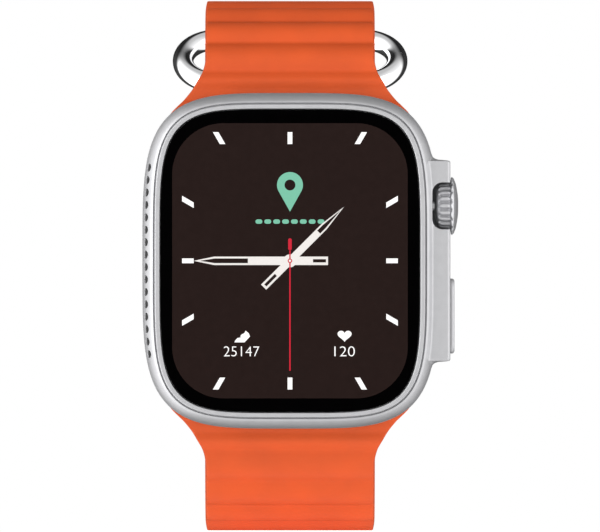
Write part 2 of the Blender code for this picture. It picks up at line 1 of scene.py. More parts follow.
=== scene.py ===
"""Looks for the sports watch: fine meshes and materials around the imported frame.

Plain numbers in the mesh functions are millimetres, as in the frame's own design; every mesh is scaled to
metres when it is made. The face looks along -Y, up is +Z and the crown is on +X.
"""

import math

import bmesh
import bpy
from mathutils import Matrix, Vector


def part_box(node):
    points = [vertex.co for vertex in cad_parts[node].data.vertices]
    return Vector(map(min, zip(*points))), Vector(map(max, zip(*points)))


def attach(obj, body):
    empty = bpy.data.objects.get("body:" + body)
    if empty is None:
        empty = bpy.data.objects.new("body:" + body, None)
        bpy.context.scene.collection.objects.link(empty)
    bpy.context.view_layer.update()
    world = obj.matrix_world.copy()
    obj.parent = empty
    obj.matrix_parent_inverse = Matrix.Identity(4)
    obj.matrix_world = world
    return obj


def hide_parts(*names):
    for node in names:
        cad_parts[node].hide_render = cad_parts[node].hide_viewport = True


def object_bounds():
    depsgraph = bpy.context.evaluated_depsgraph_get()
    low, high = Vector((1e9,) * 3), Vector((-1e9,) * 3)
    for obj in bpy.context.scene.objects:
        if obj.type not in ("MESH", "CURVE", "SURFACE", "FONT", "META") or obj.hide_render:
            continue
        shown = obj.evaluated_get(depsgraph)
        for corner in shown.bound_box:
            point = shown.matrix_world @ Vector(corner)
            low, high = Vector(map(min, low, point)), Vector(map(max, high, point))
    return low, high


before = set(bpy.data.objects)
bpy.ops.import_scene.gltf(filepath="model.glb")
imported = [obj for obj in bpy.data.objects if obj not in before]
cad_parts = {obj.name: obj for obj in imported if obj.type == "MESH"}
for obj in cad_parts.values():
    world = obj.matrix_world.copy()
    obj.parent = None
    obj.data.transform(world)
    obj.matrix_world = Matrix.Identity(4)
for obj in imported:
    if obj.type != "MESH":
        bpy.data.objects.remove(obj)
CAD_BOX = [list(corner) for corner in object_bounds()]
MM = 0.001
AXIS = 0.02  # a turned piece starts this close to its axis


def box_mm(node):
    low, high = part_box(node)
    return low / MM, high / MM


# Sizes that the frame gives.
CASE_LOW, CASE_HIGH = box_mm("case_body")
GLASS_LOW, GLASS_HIGH = box_mm("front_glass")
CROWN_LOW, CROWN_HIGH = box_mm("crown_knob")
BUTTON_LOW, BUTTON_HIGH = box_mm("side_button_cap")
KEEPER_HIGH = box_mm("keeper_loop")[1]

# Case outline: superellipses around the middle of the face.
CASE_HALF_X = -CASE_LOW.x
CASE_HALF_Z = 24.6
CASE_EXPONENT = 4.1
GLASS_BORE_X = 19.08
GLASS_BORE_Z = 22.25
GLASS_EXPONENT = 4.75
LIP_Y = CASE_LOW.y
BACK_Y = CASE_HIGH.y
GLASS_Y = GLASS_LOW.y
SIDE_RADIUS = 5.26
SIDE_FRONT_Y = -10.5
SIDE_BACK_Y = -6.5
BACK_INSET = 3.2
BACK_LEVELS = (BACK_Y, -2.41, -2.45, -2.52, -2.65, -2.85, -3.15, -3.5)
FRONT_LEVELS = (-13.65, -13.8, -13.95)
LIP_INSET = 1.55
LIP_STEPS = ((0.0, -14.06), (0.13, -13.8), (0.18, -13.8), (0.3, LIP_Y))
LIP_INNER = ((2.5, LIP_Y), (2.56, -14.0))
LIP_EDGE = 0.1
# Inner walls, from the glass seat to the opening in the back: half sizes, exponent, depth.
CASE_INSIDE = (
    (GLASS_BORE_X, GLASS_BORE_Z, GLASS_EXPONENT, -12.6), (17.9, 21.1, GLASS_EXPONENT, -12.6),
    (17.9, 21.1, GLASS_EXPONENT, -9.9), (16.4, 17.2, 3.2, -9.9), (16.4, 17.2, 3.2, -4.0),
    (17.4, 17.9, GLASS_EXPONENT, -4.0), (17.4, 17.9, GLASS_EXPONENT, BACK_Y - 0.12),
    (17.52, 18.02, GLASS_EXPONENT, BACK_Y),
)
CASE_EDGE = 0.09
GLASS_GAP = 0.1
# Pocket of a release key: half width, depths, and heights from the middle of the case.
POCKET = (3.1, -6.4, -2.0, 18.0, 20.4)
OUTSIDE = 28.0

# Row of speaker holes on the left side.
SPEAKER_PLACES = [(0.0, -12.74, 13.65 - 1.82 * index) for index in range(16)]
SPEAKER_FLOOR_X = -19.8
SPEAKER_RADIUS = 0.6
# Gauze plugs: (radius, distance below the surface).
GAUZE_STEPS = ((0.57, 0.14), (0.4, 0.12), (0.2, 0.12), (0.02, 0.12))

# Controls on the right side.
CONTROL_Y = (CROWN_LOW.y + CROWN_HIGH.y) / 2
CROWN_Z = (CROWN_LOW.z + CROWN_HIGH.z) / 2
BUTTON_Z = (BUTTON_LOW.z + BUTTON_HIGH.z) / 2
GUARD_HALF_Z = 14.7
CROWN_CAP_X = 23.55
CROWN_DRUM = 3.34
CROWN_EDGE = 0.3
CROWN_BORE = 1.62
CROWN_GROOVES = 18
GROOVE_DEPTH = 0.5
GROOVE_START, GROOVE_END = 21.75, 23.98
BUTTON_SLOT = (11.6, 3.6)
BUTTON_BORE = 1.6
BUTTON_EDGE = 0.4
RELEASE_EDGE = 0.35
GUARD_X = CASE_HIGH.x
GUARD_FRONT_Y = -13.2
GUARD_BACK_Y = -4.1
GUARD_EDGE = 0.5
NOTCH_BACK_Y = -4.7
NOTCH_INNER_X = 20.85
NOTCH_HALF_Z = 3.45
NOTCH_CORNER = 1.5
# Across the guard's ends: (distance past its half length, share of its height).
GUARD_END = (
    (-0.3, 1.0), (-0.16, 0.985), (-0.06, 0.95), (0.0, 0.89), (0.04, 0.78), (0.07, 0.6), (0.11, 0.4),
    (0.15, 0.28), (0.24, 0.17), (0.36, 0.095), (0.52, 0.04), (0.7, 0.01), (0.9, 0.0),
)

# Band: bar in the case channel, then a path of arcs as (radius, heading reached).
BAR_Y = -6.5
BAR_Z = 21.9
BAR_RADIUS = 1.9
CHANNEL_RADIUS = 2.2
MOUTH_HALF = 1.6
BAND_ANGLE = 14.0
BAND_HALF_WIDTH = 12.47
BAND_CORE = 1.3
BAND_EDGE = 0.5
FLARE_LOW_Z, FLARE_TOP_Z, FLARE_RUN = 21.6, 29.2, 7.6
FLARE_WIDTH = 4.93
RIDGE_HEIGHT = 0.8
RIDGE_START, RIDGE_FADE = 2.9, 1.6
LAYER_STEP = 3.7
LIFT_START, LIFT_RUN = 15.0, 13.0
TAIL_RUN, TAIL_NARROWING = 6.0, 0.75
LEAD = 3.09
UPPER_ARCS = ((14.7, 86), (125.0, 94), (15.6, 158), (70.0, 180))
LOWER_ARCS = ((16.7, 86), (103.5, 94), (17.0, 158), (70.0, 180))
UPPER_RIDGE_PITCH = 4.6
LOWER_RIDGE_PITCH = 5.0
FIRST_VALLEY = 5.65
PIVOT_S = 70.3
TAIL_ANGLE = 130.0
KEEPER_ANGLE = 150.0
SLOT_T = 7.2
SLOT_SPACING = 10.0
SLOT_RADIUS = 1.5
SLOT_HALF = 1.1
BARREL = 1.75
PRONG_NOTCH = ((-1.6, -3.0, -2.3), (1.6, 3.0, 4.0))
PIVOT_BORE = 0.8
PIN_RADIUS = 0.55
PIN_HALF = 15.5
FRAME_LENGTH = 14.5
FRAME_HALF_WIDTH = 14.3
FRAME_CORNER = 3.0
FRAME_RISE = 3.95
FRAME_ROD = 1.4
PRONG_ROD = 0.65
PRONG_EYE = 1.4
# The prong's middle line: (distance beyond the pivot, distance outward).
PRONG_ROUTE = (
    (0.9, 0.0), (3.0, 0.0), (5.2, 0.2), (6.3, 0.8), (7.0, 2.0), (7.6, 3.4), (8.5, 4.8), (10.2, 5.8),
    (12.2, 6.25), (14.5, 6.3), (15.6, 6.22),
)
KEEPER_ROD = 1.55
KEEPER_HALF_WIDTH = KEEPER_HIGH.x - KEEPER_ROD
KEEPER_HALF_HEIGHT = 6.4
KEEPER_CORNER = 5.0
KEEPER_OUTSET = 0.8

# Back: ceramic plate, screws and the sensor dome as (radius, depth).
PLATE_HALF = (17.1, 17.6)
PLATE_LEVELS = ((-3.4, 0.0), (-2.5, 0.0), (-2.36, 0.06), (-2.3, 0.2))
PLATE_HOLE = ((13.45, -2.3), (13.3, -2.42), (13.3, -3.4))
SCREW = ((AXIS, -2.45), (1.25, -2.45), (1.25, -2.85), (0.6, -2.85), (0.6, -6.2), (AXIS, -6.2))
SCREW_SEAT = ((0.85, -5.0), (0.85, -3.0), (1.5, -3.0), (1.5, -2.42), (1.66, 0.0))
SOCKET_RADIUS, SOCKET_LOBE = 0.5, 0.16
DOME_RIM = ((AXIS, -3.3), (13.0, -3.3))
DOME = ((13.0, -3.2), (13.0, -2.5), (12.3, -1.75), (10.5, -0.85), (8.0, -0.25), (5.5, 0.0), (AXIS, 0.0))

# Display graphics.
INK = 0.012
INK_GAP = 0.002
DISPLAY_HALF = (17.25, 20.15)
DISPLAY_CORNER = 7.5
MARK_INNER = (14.1, 17.1)
MARK_OUTER = (15.8, 18.85)
MARK_WIDTH = 0.7
# Hands: tip, shoulder, end of the hollow, half width, wall, tail, and the slot's start, end and half width.
MINUTE_HAND = (14.1, 11.1, 6.06, 0.62, 0.28, 5.57, (3.36, 5.28, 0.24))
HOUR_HAND = (11.2, 7.1, 5.85, 0.53, 0.22, 5.45, (2.9, 5.1, 0.22))
NEEDLE = ((-0.1, 1.55), (0.1, 1.55), (0.1, -16.1), (-0.1, -16.1))
WEIGHT = (
    (-0.265, 1.75), (-0.2, 1.6), (0.2, 1.6), (0.265, 1.75),
    (0.265, 3.1), (0.15, 3.28), (-0.15, 3.28), (-0.265, 3.1),
)
SHOE = (
    (-1.0, -0.96), (0.28, -0.96), (0.98, 0.02), (0.82, 0.56), (0.42, 1.0), (0.26, 0.58), (-0.1, 0.36),
    (-0.28, 0.04), (-0.12, -0.08), (-0.3, -0.16), (-0.62, -0.24), (-0.88, -0.6),
)


# ---- materials

def linear(*channels):
    """An 8-bit display colour as linear light."""
    shares = (value / 255 for value in channels)
    return tuple(share / 12.92 if share <= 0.04045 else ((share + 0.055) / 1.055) ** 2.4 for share in shares)


def shade(colour, factor):
    return tuple(min(1.0, value * factor) for value in colour)


METAL = linear(195, 195, 197)
ORANGE = (0.655, 0.084, 0.012)
CARBON = (0.0004, 0.0003, 0.0004)
# Grained looks: material, colour, roughness, metallic, grain, relief in metres, spread of colour, of gloss.
GRAINED = {
    "titanium": ("blasted_titanium", METAL, 0.55, 1.0, 9000.0, 0.0000035, 0.03, 0.05),
    # Painted light: the crown's titanium is the case's titanium colour made a fifth lighter, to stand in for
    # light on the crown.
    "crown_metal_painted_lighter": ("crown_titanium_painted_lighter", shade(METAL, 1.2), 0.45, 1.0, 7000.0, 0.000003, 0.04, 0.06),
    "crystal": ("crystal", CARBON, 0.08, 0.0, 5000.0, 0.0000002, 0.3, 0.02),
    "screen": ("display_dark", linear(35, 25, 23), 0.1, 0.0, 14000.0, 0.0000002, 0.06, 0.02),
    "ceramic": ("back_ceramic", linear(52, 52, 56), 0.22, 0.0, 2500.0, 0.0000008, 0.08, 0.06),
    "rubber": ("seal_rubber", linear(28, 28, 28), 0.75, 0.0, 5000.0, 0.000006, 0.15, 0.06),
    "plastic": ("moulded_plastic", linear(34, 34, 36), 0.5, 0.0, 4000.0, 0.000004, 0.12, 0.06),
    "gauze": ("speaker_gauze", linear(24, 24, 25), 0.7, 0.0, 12000.0, 0.00003, 0.3, 0.06),
    "foil": ("battery_foil", linear(120, 120, 124), 0.38, 0.8, 700.0, 0.00002, 0.06, 0.06),
}


def add_node(tree, kind, inputs, **values):
    """A node with its settings and the values of its sockets."""
    made = tree.nodes.new(kind)
    for name, value in values.items():
        setattr(made, name, value)
    for socket, value in inputs.items():
        made.inputs[socket].default_value = value
    return made


class Surface:
    """A Principled material, and the few kinds of nodes that the looks here add to it."""

    def __init__(self, name, colour, roughness, metallic=0.0):
        self.material = bpy.data.materials.new(name)
        self.material.use_nodes = True
        self.tree = self.material.node_tree
        self.shader = self.tree.nodes["Principled BSDF"]
        self.set("Base Color", (*colour, 1.0))
        self.set("Roughness", roughness)
        self.set("Metallic", metallic)
        self.material.diffuse_color = (*colour, 1.0)
        self.place = add_node(self.tree, "ShaderNodeTexCoord", {}).outputs["Object"]

    def set(self, socket, value):
        self.shader.inputs[socket].default_value = value

    def node(self, kind, source, socket, inputs, **values):
        """A node that reads another one's output."""
        made = add_node(self.tree, kind, inputs, **values)
        self.link(source, made.inputs[socket])
        return made

    def link(self, output, target):
        self.tree.links.new(output, target)

    def noise(self, scale, detail=3.0, stretch=None):
        source = self.place
        if stretch:
            source = self.node("ShaderNodeMapping", source, "Vector", {"Scale": stretch}).outputs["Vector"]
        inputs = {"Scale": scale, "Detail": detail}
        return self.node("ShaderNodeTexNoise", source, "Vector", inputs).outputs["Fac"]

    def rings(self, scale):
        """Rings around the Y axis."""
        made = self.node("ShaderNodeTexWave", self.place, "Vector", {"Scale": scale},
                         wave_type="RINGS", rings_direction="Y", wave_profile="SIN")
        return made.outputs["Fac"]

    def spread(self, source, low, high, start=0.3, stop=0.7):
        """Map a 0 to 1 pattern onto a range of numbers."""
        inputs = {"From Min": start, "From Max": stop, "To Min": low, "To Max": high}
        return self.node("ShaderNodeMapRange", source, "Value", inputs).outputs["Result"]

    def tint(self, source, first, second, start=0.3, stop=0.7):
        """Colour a pattern from one colour to another."""
        share = self.spread(source, 0.0, 1.0, start, stop)
        mix = self.node("ShaderNodeMix", share, 0, {6: (*first, 1.0), 7: (*second, 1.0)}, data_type="RGBA")
        self.link(mix.outputs[2], self.shader.inputs["Base Color"])

    def rough(self, source, low, high):
        self.link(self.spread(source, low, high), self.shader.inputs["Roughness"])

    def bump(self, source, depth):
        made = self.node("ShaderNodeBump", source, "Height", {"Distance": depth, "Strength": 1.0})
        self.link(made.outputs["Normal"], self.shader.inputs["Normal"])


def grained(name, colour, roughness, metallic, grain, depth, vary, gloss_vary):
    """Fine grain in colour, gloss and relief: the base of most of the looks."""
    made = Surface(name, colour, roughness, metallic)
    broad = made.noise(grain / 12, 4.0)
    fine = made.noise(grain, 2.0)
    made.tint(broad, shade(colour, 1 - vary), shade(colour, 1 + vary))
    made.rough(fine, roughness - gloss_vary, roughness + gloss_vary)
    made.bump(fine, depth)
    return made


def lit(name, colour, strength):
    """A glowing display colour, with the screen's fine structure in its unlit tone."""
    made = Surface(name, shade(colour, 0.25), 0.25)
    made.tint(made.noise(14000.0, 0.0), shade(colour, 0.22), shade(colour, 0.28))
    made.set("Emission Color", (*colour, 1.0))
    made.set("Emission Strength", strength)
    return made


def elastomer():
    made = Surface("orange_elastomer", ORANGE, 0.52)
    cloud = made.noise(160.0)
    made.tint(cloud, shade(ORANGE, 0.94), shade(ORANGE, 1.05))
    made.rough(cloud, 0.46, 0.58)
    made.bump(made.noise(6500.0, 2.0), 0.000006)
    made.set("Specular IOR Level", 0.3)
    return made


def polished_chrome():
    made = Surface("polished_chrome", (0.9, 0.9, 0.91), 0.04, 1.0)
    hairlines = made.noise(900.0, 2.0, (1.0, 12.0, 12.0))
    made.rough(hairlines, 0.02, 0.06)
    made.bump(hairlines, 0.0000004)
    return made


def turned_steel():
    made = Surface("turned_steel", (0.55, 0.55, 0.56), 0.3, 1.0)
    lines = made.noise(3000.0, 2.0, (1.0, 6.0, 1.0))
    made.rough(lines, 0.22, 0.38)
    made.tint(lines, (0.5, 0.5, 0.51), (0.6, 0.6, 0.61))
    made.bump(lines, 0.000001)
    return made


def sensor_glass():
    """Dark glass over the sensors, with faint printed rings around the middle."""
    made = Surface("sensor_window", (0.004, 0.004, 0.005), 0.06)
    rings = made.rings(80.0)
    made.tint(rings, (0.003, 0.003, 0.004), (0.02, 0.02, 0.024), 0.75, 0.95)
    made.rough(made.noise(250.0), 0.04, 0.09)
    made.set("Coat Weight", 0.5)
    return made


def circuit_board():
    made = Surface("circuit_board", linear(18, 70, 48), 0.42)
    turn = made.node("ShaderNodeMapping", made.place, "Vector", {"Rotation": (math.pi / 2, 0.0, 0.0)})
    traces = made.node("ShaderNodeTexBrick", turn.outputs["Vector"], "Vector", {
        "Scale": 400.0, "Mortar Size": 0.015, "Mortar": (*linear(150, 128, 70), 1.0),
        "Color1": (*linear(16, 62, 42), 1.0), "Color2": (*linear(22, 82, 56), 1.0),
    })
    made.link(traces.outputs["Color"], made.shader.inputs["Base Color"])
    made.bump(traces.outputs["Fac"], 0.00002)
    return made


def copper_coil():
    made = Surface("enamelled_copper", linear(190, 110, 66), 0.3, 1.0)
    turns = made.rings(900.0)
    made.tint(turns, linear(120, 62, 34), linear(205, 124, 78), 0.1, 0.9)
    made.bump(turns, 0.00003)
    return made


def make_looks():
    looks = {look: grained(*values) for look, values in GRAINED.items()}
    looks["crystal"].set("Specular IOR Level", 0.3)
    looks["screen"].set("Specular IOR Level", 0.3)
    looks["ceramic"].set("Coat Weight", 0.4)
    looks["white_ink"] = lit("display_white", (1.0, 0.985, 0.975), 0.8)
    looks["hand_ink"] = lit("display_hand", linear(236, 231, 227), 0.75)
    looks["red_ink"] = lit("display_red", linear(205, 22, 48), 0.75)
    looks["mint_ink"] = lit("display_mint", linear(120, 192, 164), 0.75)
    looks["orange"] = elastomer()
    looks["chrome"] = polished_chrome()
    looks["steel"] = turned_steel()
    looks["window"] = sensor_glass()
    looks["board"] = circuit_board()
    looks["copper"] = copper_coil()
    return {look: surface.material for look, surface in looks.items()}


# ---- mesh tools

def add_object(name, data):
    made = bpy.data.objects.new(name, data)
    bpy.context.scene.collection.objects.link(made)
    return made


def add_piece(name, bm, look=None, body=None, replaces=(), sharp=32.0):
    """Turn a bmesh in millimetres into a piece that rides on a body. Without a look it is a cutter."""
    bmesh.ops.remove_doubles(bm, verts=bm.verts, dist=0.00005)
    bmesh.ops.recalc_face_normals(bm, faces=bm.faces)
    for vert in bm.verts:
        vert.co *= MM
    mesh = bpy.data.meshes.new(name)
    bm.to_mesh(mesh)
    bm.free()
    mesh.shade_smooth()
    mesh.set_sharp_from_angle(angle=math.radians(sharp))
    made = add_object(name, mesh)
    if look is None:
        return made
    mesh.materials.append(LOOKS[look])
    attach(made, body)
    if replaces:
        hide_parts(*replaces)
    weigh_normals(made)
    return made


def weigh_normals(piece):
    """Let the flat faces keep their own direction, so that only the edges' curves bend the light."""
    modifier = piece.modifiers.new("weighted_normals", "WEIGHTED_NORMAL")
    modifier.keep_sharp = True


def cut(target, tools, operation="DIFFERENCE", sharp=32.0):
    """Cut tools out of a piece, one after another, and keep only the result."""
    target.modifiers.clear()
    for tool in tools:
        modifier = target.modifiers.new(tool.name, "BOOLEAN")
        modifier.operation = operation
        modifier.solver = "EXACT"
        modifier.object = tool
    graph = bpy.context.evaluated_depsgraph_get()
    mesh = bpy.data.meshes.new_from_object(target.evaluated_get(graph))
    target.modifiers.clear()
    looks = list(target.data.materials)
    target.data = mesh
    mesh.materials.clear()
    mesh.materials.append(looks[0])
    mesh.polygons.foreach_set("material_index", [0] * len(mesh.polygons))
    mesh.shade_smooth()
    mesh.set_sharp_from_angle(angle=math.radians(sharp))
    weigh_normals(target)
    for tool in tools:
        bpy.data.objects.remove(tool, do_unlink=True)


def skin(bm, rings, closed=False):
    """Faces between rings of equal length; the ends are capped unless the last ring meets the first."""
    rows = [[bm.verts.new(point) for point in ring] for ring in rings]
    count = len(rings[0])
    pairs = list(zip(rows, rows[1:]))
    if closed:
        pairs.append((rows[-1], rows[0]))
    for first, second in pairs:
        for index in range(count):
            after = (index + 1) % count
            bm.faces.new((first[index], first[after], second[after], second[index]))
    if not closed:
        bm.faces.new(rows[0])
        bm.faces.new(rows[-1])


def loft(rings, closed=False):
    bm = bmesh.new()
    skin(bm, rings, closed)
    return bm


def arc(steps, first, last):
    """Evenly spaced angles from first to last, which are in degrees."""
    return [math.radians(first + (last - first) * step / steps) for step in range(steps + 1)]


def full_turn(count):
    """Evenly spaced angles, once around."""
    return [2 * math.pi * index / count for index in range(count)]


def round_points(radius, turns, centre=(0.0, 0.0)):
    return [(centre[0] + radius * math.cos(turn), centre[1] + radius * math.sin(turn)) for turn in turns]


def superellipse(half_x, half_z, exponent, y, angles):
    ring = []
    for angle in angles:
        across = abs(math.cos(angle)) / half_x
        along = abs(math.sin(angle)) / half_z
        reach = (across ** exponent + along ** exponent) ** (-1 / exponent)
        ring.append((reach * math.cos(angle), y, reach * math.sin(angle)))
    return ring


def turned_rings(profile, axis, centre, sides, ripple=None):
    """Rings of a profile of (radius, distance along the axis), turned about X or Y through centre."""
    rings = []
    for radius, reach in profile:
        ring = []
        for angle in full_turn(sides):
            size = radius - (ripple(angle, radius, reach) if ripple else 0.0)
            side, up = size * math.cos(angle), size * math.sin(angle)
            offset = (reach, side, up) if axis == "X" else (side, reach, up)
            ring.append(tuple(start + value for start, value in zip(centre, offset)))
        rings.append(ring)
    return rings


def rounded_profile(corners, radius, steps=4):
    """A turned profile whose inner corners are rounded; the first and last points stay sharp."""
    points = [corners[0]]
    for before, corner, after in zip(corners, corners[1:], corners[2:]):
        here = Vector(corner)
        back, ahead = Vector(before) - here, Vector(after) - here
        reach = min(radius, back.length * 0.45, ahead.length * 0.45)
        start, end = here + back.normalized() * reach, here + ahead.normalized() * reach
        for step in range(steps + 1):
            share = step / steps
            bend = start * (1 - share) ** 2 + here * 2 * share * (1 - share) + end * share ** 2
            points.append(tuple(bend))
    points.append(corners[-1])
    return points


def rod(name, radius, start, end, centre, sides=32):
    """A round cutter along X."""
    return add_piece(name, loft(turned_rings(((radius, start), (radius, end)), "X", centre, sides)))


def box_mesh(low, high):
    bm = bmesh.new()
    bmesh.ops.create_cube(bm, size=1.0)
    for vert in bm.verts:
        vert.co = [(a + b) / 2 + value * (b - a) for a, b, value in zip(low, high, vert.co)]
    return bm


def block(name, low, high, centre=(0.0, 0.0, 0.0), turn=0.0):
    """A cutter box, given around its own middle, tilted about X."""
    made = add_piece(name, box_mesh(low, high))
    made.location = [value * MM for value in centre]
    made.rotation_euler = (turn, 0.0, 0.0)
    bpy.context.view_layer.update()
    return made


def bar_ring(length, width, x, z, inset=0.0):
    """A stadium outline across X, long along Z, at the depth of the controls."""
    radius = width / 2 - inset
    ring = []
    for end in (1, -1):
        for angle in arc(12, 0, 180):
            rise = end * (length / 2 - width / 2 + radius * math.sin(angle))
            ring.append((x, CONTROL_Y + end * radius * math.cos(angle), z + rise))
    return ring


def sweep(points, radius, sides, closed=False):
    """Rings of a circle swept along points; an open sweep has rounded ends."""
    points = [Vector(point) for point in points]
    sizes = [radius] * len(points)
    if not closed:
        steps = arc(5, 8, 90)
        head, tail = (points[1] - points[0]).normalized(), (points[-1] - points[-2]).normalized()
        front = [points[0] - head * radius * math.cos(turn) for turn in steps]
        back = [points[-1] + tail * radius * math.cos(turn) for turn in reversed(steps)]
        sizes = [radius * math.sin(turn) for turn in steps] + sizes[1:-1]
        sizes += [radius * math.sin(turn) for turn in reversed(steps)]
        points = front + points[1:-1] + back
    rings, normal = [], None
    for index, point in enumerate(points):
        before = points[index - 1] if closed or index else point
        after = points[(index + 1) % len(points)] if closed or index + 1 < len(points) else point
        tangent = (after - before).normalized()
        normal = normal or tangent.orthogonal().normalized()
        normal = (normal - tangent * normal.dot(tangent)).normalized()
        side = tangent.cross(normal)
        rings.append([tuple(point + sizes[index] * (normal * math.cos(turn) + side * math.sin(turn)))
                      for turn in full_turn(sides)])
    return rings


# ---- case

def outline_angles():
    angles = full_turn(300)
    for side in (1, -1):
        for past, _ in GUARD_END:
            angles.append(side * math.atan2(GUARD_HALF_Z + past, CASE_HALF_X - 0.4) % (2 * math.pi))
    return sorted(angles)


CASE_ANGLES = outline_angles()
PLATE_ANGLES = full_turn(240)


def case_size(inset):
    """Half width, half height and exponent of the case, some way in from its outline towards the glass."""
    part = inset / (CASE_HALF_X - GLASS_BORE_X)
    return (CASE_HALF_X + part * (GLASS_BORE_X - CASE_HALF_X),
            CASE_HALF_Z + part * (GLASS_BORE_Z - CASE_HALF_Z),
            CASE_EXPONENT + part * (GLASS_EXPONENT - CASE_EXPONENT))


def case_ring(inset, y):
    return superellipse(*case_size(inset), y, CASE_ANGLES)


def wall_ring(y):
    return case_ring(side_inset(y), y)


def side_inset(y):
    """How far the plain side wall stands inside the outline at depth y."""
    if y > SIDE_BACK_Y:
        fall = (BACK_Y - y) / (BACK_Y - SIDE_BACK_Y)
        return BACK_INSET * (1 - math.sin(math.acos(1 - min(1.0, fall))))
    rise = max(0.0, SIDE_FRONT_Y - y) / SIDE_RADIUS
    return SIDE_RADIUS * (1 - math.sqrt(1 - rise ** 2))


def guard_share(x, z):
    """1 on the crown guard, 0 away from it, and in between across its ends."""
    past = abs(z) - GUARD_HALF_Z
    if x < 0 or past >= GUARD_END[-1][0]:
        return 0.0
    if past <= GUARD_END[0][0]:
        return 1.0
    for (start, high), (stop, low) in zip(GUARD_END, GUARD_END[1:]):
        if past <= stop:
            return high + (low - high) * (past - start) / (stop - start)
    return 0.0


def guard_section():
    """The guard's cross-section from back to front, as (depth, rule, place)."""
    edge = GUARD_EDGE
    points = [(-3.7, "wall", 0.0), (-3.9, "wall", 0.0), (-4.02, "wall", 0.06), (GUARD_BACK_Y, "wall", 0.25)]
    points += [(GUARD_BACK_Y - edge * (1 - math.cos(turn)), "x", GUARD_X - edge + edge * math.sin(turn))
               for turn in arc(6, 0, 90)]
    points += [(y, "x", GUARD_X) for y in (-6.5, -8.2, -10.0, -11.6)]
    points += [(GUARD_FRONT_Y + edge * (1 - math.sin(turn)), "x", GUARD_X - edge + edge * math.cos(turn))
               for turn in arc(6, 0, 90)]
    points += [(GUARD_FRONT_Y, "wall", 0.25), (-13.26, "wall", 0.06), (-13.36, "wall", 0.0)]
    return points + [(-13.5, "wall", 0.0)]


def guarded_rings():
    section = guard_section()
    first, last = section[0][0], section[-1][0]
    outer = case_ring(0.0, 0.0)
    rings = []
    for index, (guard_y, rule, value) in enumerate(section):
        plain_y = first + (last - first) * index / (len(section) - 1)
        ring = []
        for plain, foot, (full_x, _, full_z) in zip(wall_ring(plain_y), wall_ring(guard_y), outer):
            (x, _, z), foot_x = plain, foot[0]
            share = guard_share(full_x, full_z)
            guard_x = value if rule == "x" else foot_x + value
            y = plain_y + share * (guard_y - plain_y)
            ring.append((x + share * (guard_x - x), y, z + share * (full_z - z)))
        rings.append(ring)
    return rings


def lip_profile():
    """The step behind the glass: a thin groove, then the raised lip with soft edges."""
    corners = [(LIP_INSET + inset, y) for inset, y in LIP_STEPS]
    return rounded_profile(corners + list(LIP_INNER), LIP_EDGE)


def notch_tool():
    """The crown's notch, open to the front and the side, with round inner corners."""
    corner, half, inner = NOTCH_CORNER, NOTCH_HALF_Z, NOTCH_INNER_X
    section = [(OUTSIDE, -half), (OUTSIDE, half)]
    section += [(inner + corner - corner * math.sin(turn), half - corner + corner * math.cos(turn))
                for turn in arc(8, 0, 90)]
    section += [(inner + corner - corner * math.cos(turn), corner - half - corner * math.sin(turn))
                for turn in arc(8, 0, 90)]
    rings = [[(x, y, CROWN_Z + rise) for x, rise in section] for y in (-16.0, NOTCH_BACK_Y)]
    return add_piece("notch_tool", loft(rings))


def wall_x(y, z):
    """Where the plain side wall stands along X."""
    half_x, half_z, exponent = case_size(side_inset(y))
    return half_x * (1 - (abs(z) / half_z) ** exponent) ** (1 / exponent)


def make_speaker_gauze():
    """Dark woven plugs in the speaker holes, a little below the surface that they follow."""
    bm = bmesh.new()
    turns = full_turn(20)
    for _, y, z in SPEAKER_PLACES:
        rings = [[(SPEAKER_FLOOR_X - 0.02, a, b) for a, b in round_points(GAUZE_STEPS[0][0], turns, (y, z))]]
        for radius, sunk in GAUZE_STEPS:
            rings.append([(sunk - wall_x(a, b), a, b) for a, b in round_points(radius, turns, (y, z))])
        skin(bm, rings)
    add_piece("speaker_gauze", bm, "gauze", "case")


def case_tools():
    tools = [notch_tool()]
    half_x, low_y, high_y, near_z, far_z = POCKET
    for end in (1, -1):
        centre = (0.0, BAR_Y, end * BAR_Z)
        turn = -math.radians(BAND_ANGLE) if end > 0 else math.pi + math.radians(BAND_ANGLE)
        tools.append(rod(f"channel_tool_{end}", CHANNEL_RADIUS, -26, 26, centre, 40))
        tools.append(block(f"mouth_tool_{end}", (-26, -MOUTH_HALF, 0.0), (26, MOUTH_HALF, 7.0), centre, turn))
        low_z, high_z = sorted((end * near_z, end * far_z))
        tools.append(block(f"pocket_tool_{end}", (-half_x, low_y, low_z), (half_x, high_y, high_z)))
    for index, place in enumerate(SPEAKER_PLACES):
        tools.append(rod(f"hole_tool_{index}", SPEAKER_RADIUS, -23, SPEAKER_FLOOR_X, place, 20))
    rings = [bar_ring(*BUTTON_SLOT, x, BUTTON_Z) for x in (21.6, 27.0)]
    tools.append(add_piece("button_slot_tool", loft(rings)))
    crown_centre = (0.0, CONTROL_Y, CROWN_Z)
    seat_radius = CROWN_HIGH.z - CROWN_Z + 0.2
    tools.append(rod("crown_seat_tool", seat_radius, CROWN_CAP_X - 0.4, 27, crown_centre, 96))
    tools.append(rod("crown_bore_tool", CROWN_BORE, 14, 21.5, crown_centre))
    tools.append(rod("button_bore_tool", BUTTON_BORE, 14, 22, (0.0, CONTROL_Y, BUTTON_Z), 24))
    return tools


def make_case():
    rings = [wall_ring(y) for y in BACK_LEVELS] + guarded_rings() + [wall_ring(y) for y in FRONT_LEVELS]
    rings += [case_ring(inset, y) for inset, y in lip_profile()]
    rings += [superellipse(*size, CASE_ANGLES) for size in CASE_INSIDE]
    case = add_piece("case_shell", loft(rings, closed=True), "titanium", "case", ["case_body"])
    cut(case, case_tools())
    soften_edges(case, CASE_EDGE)


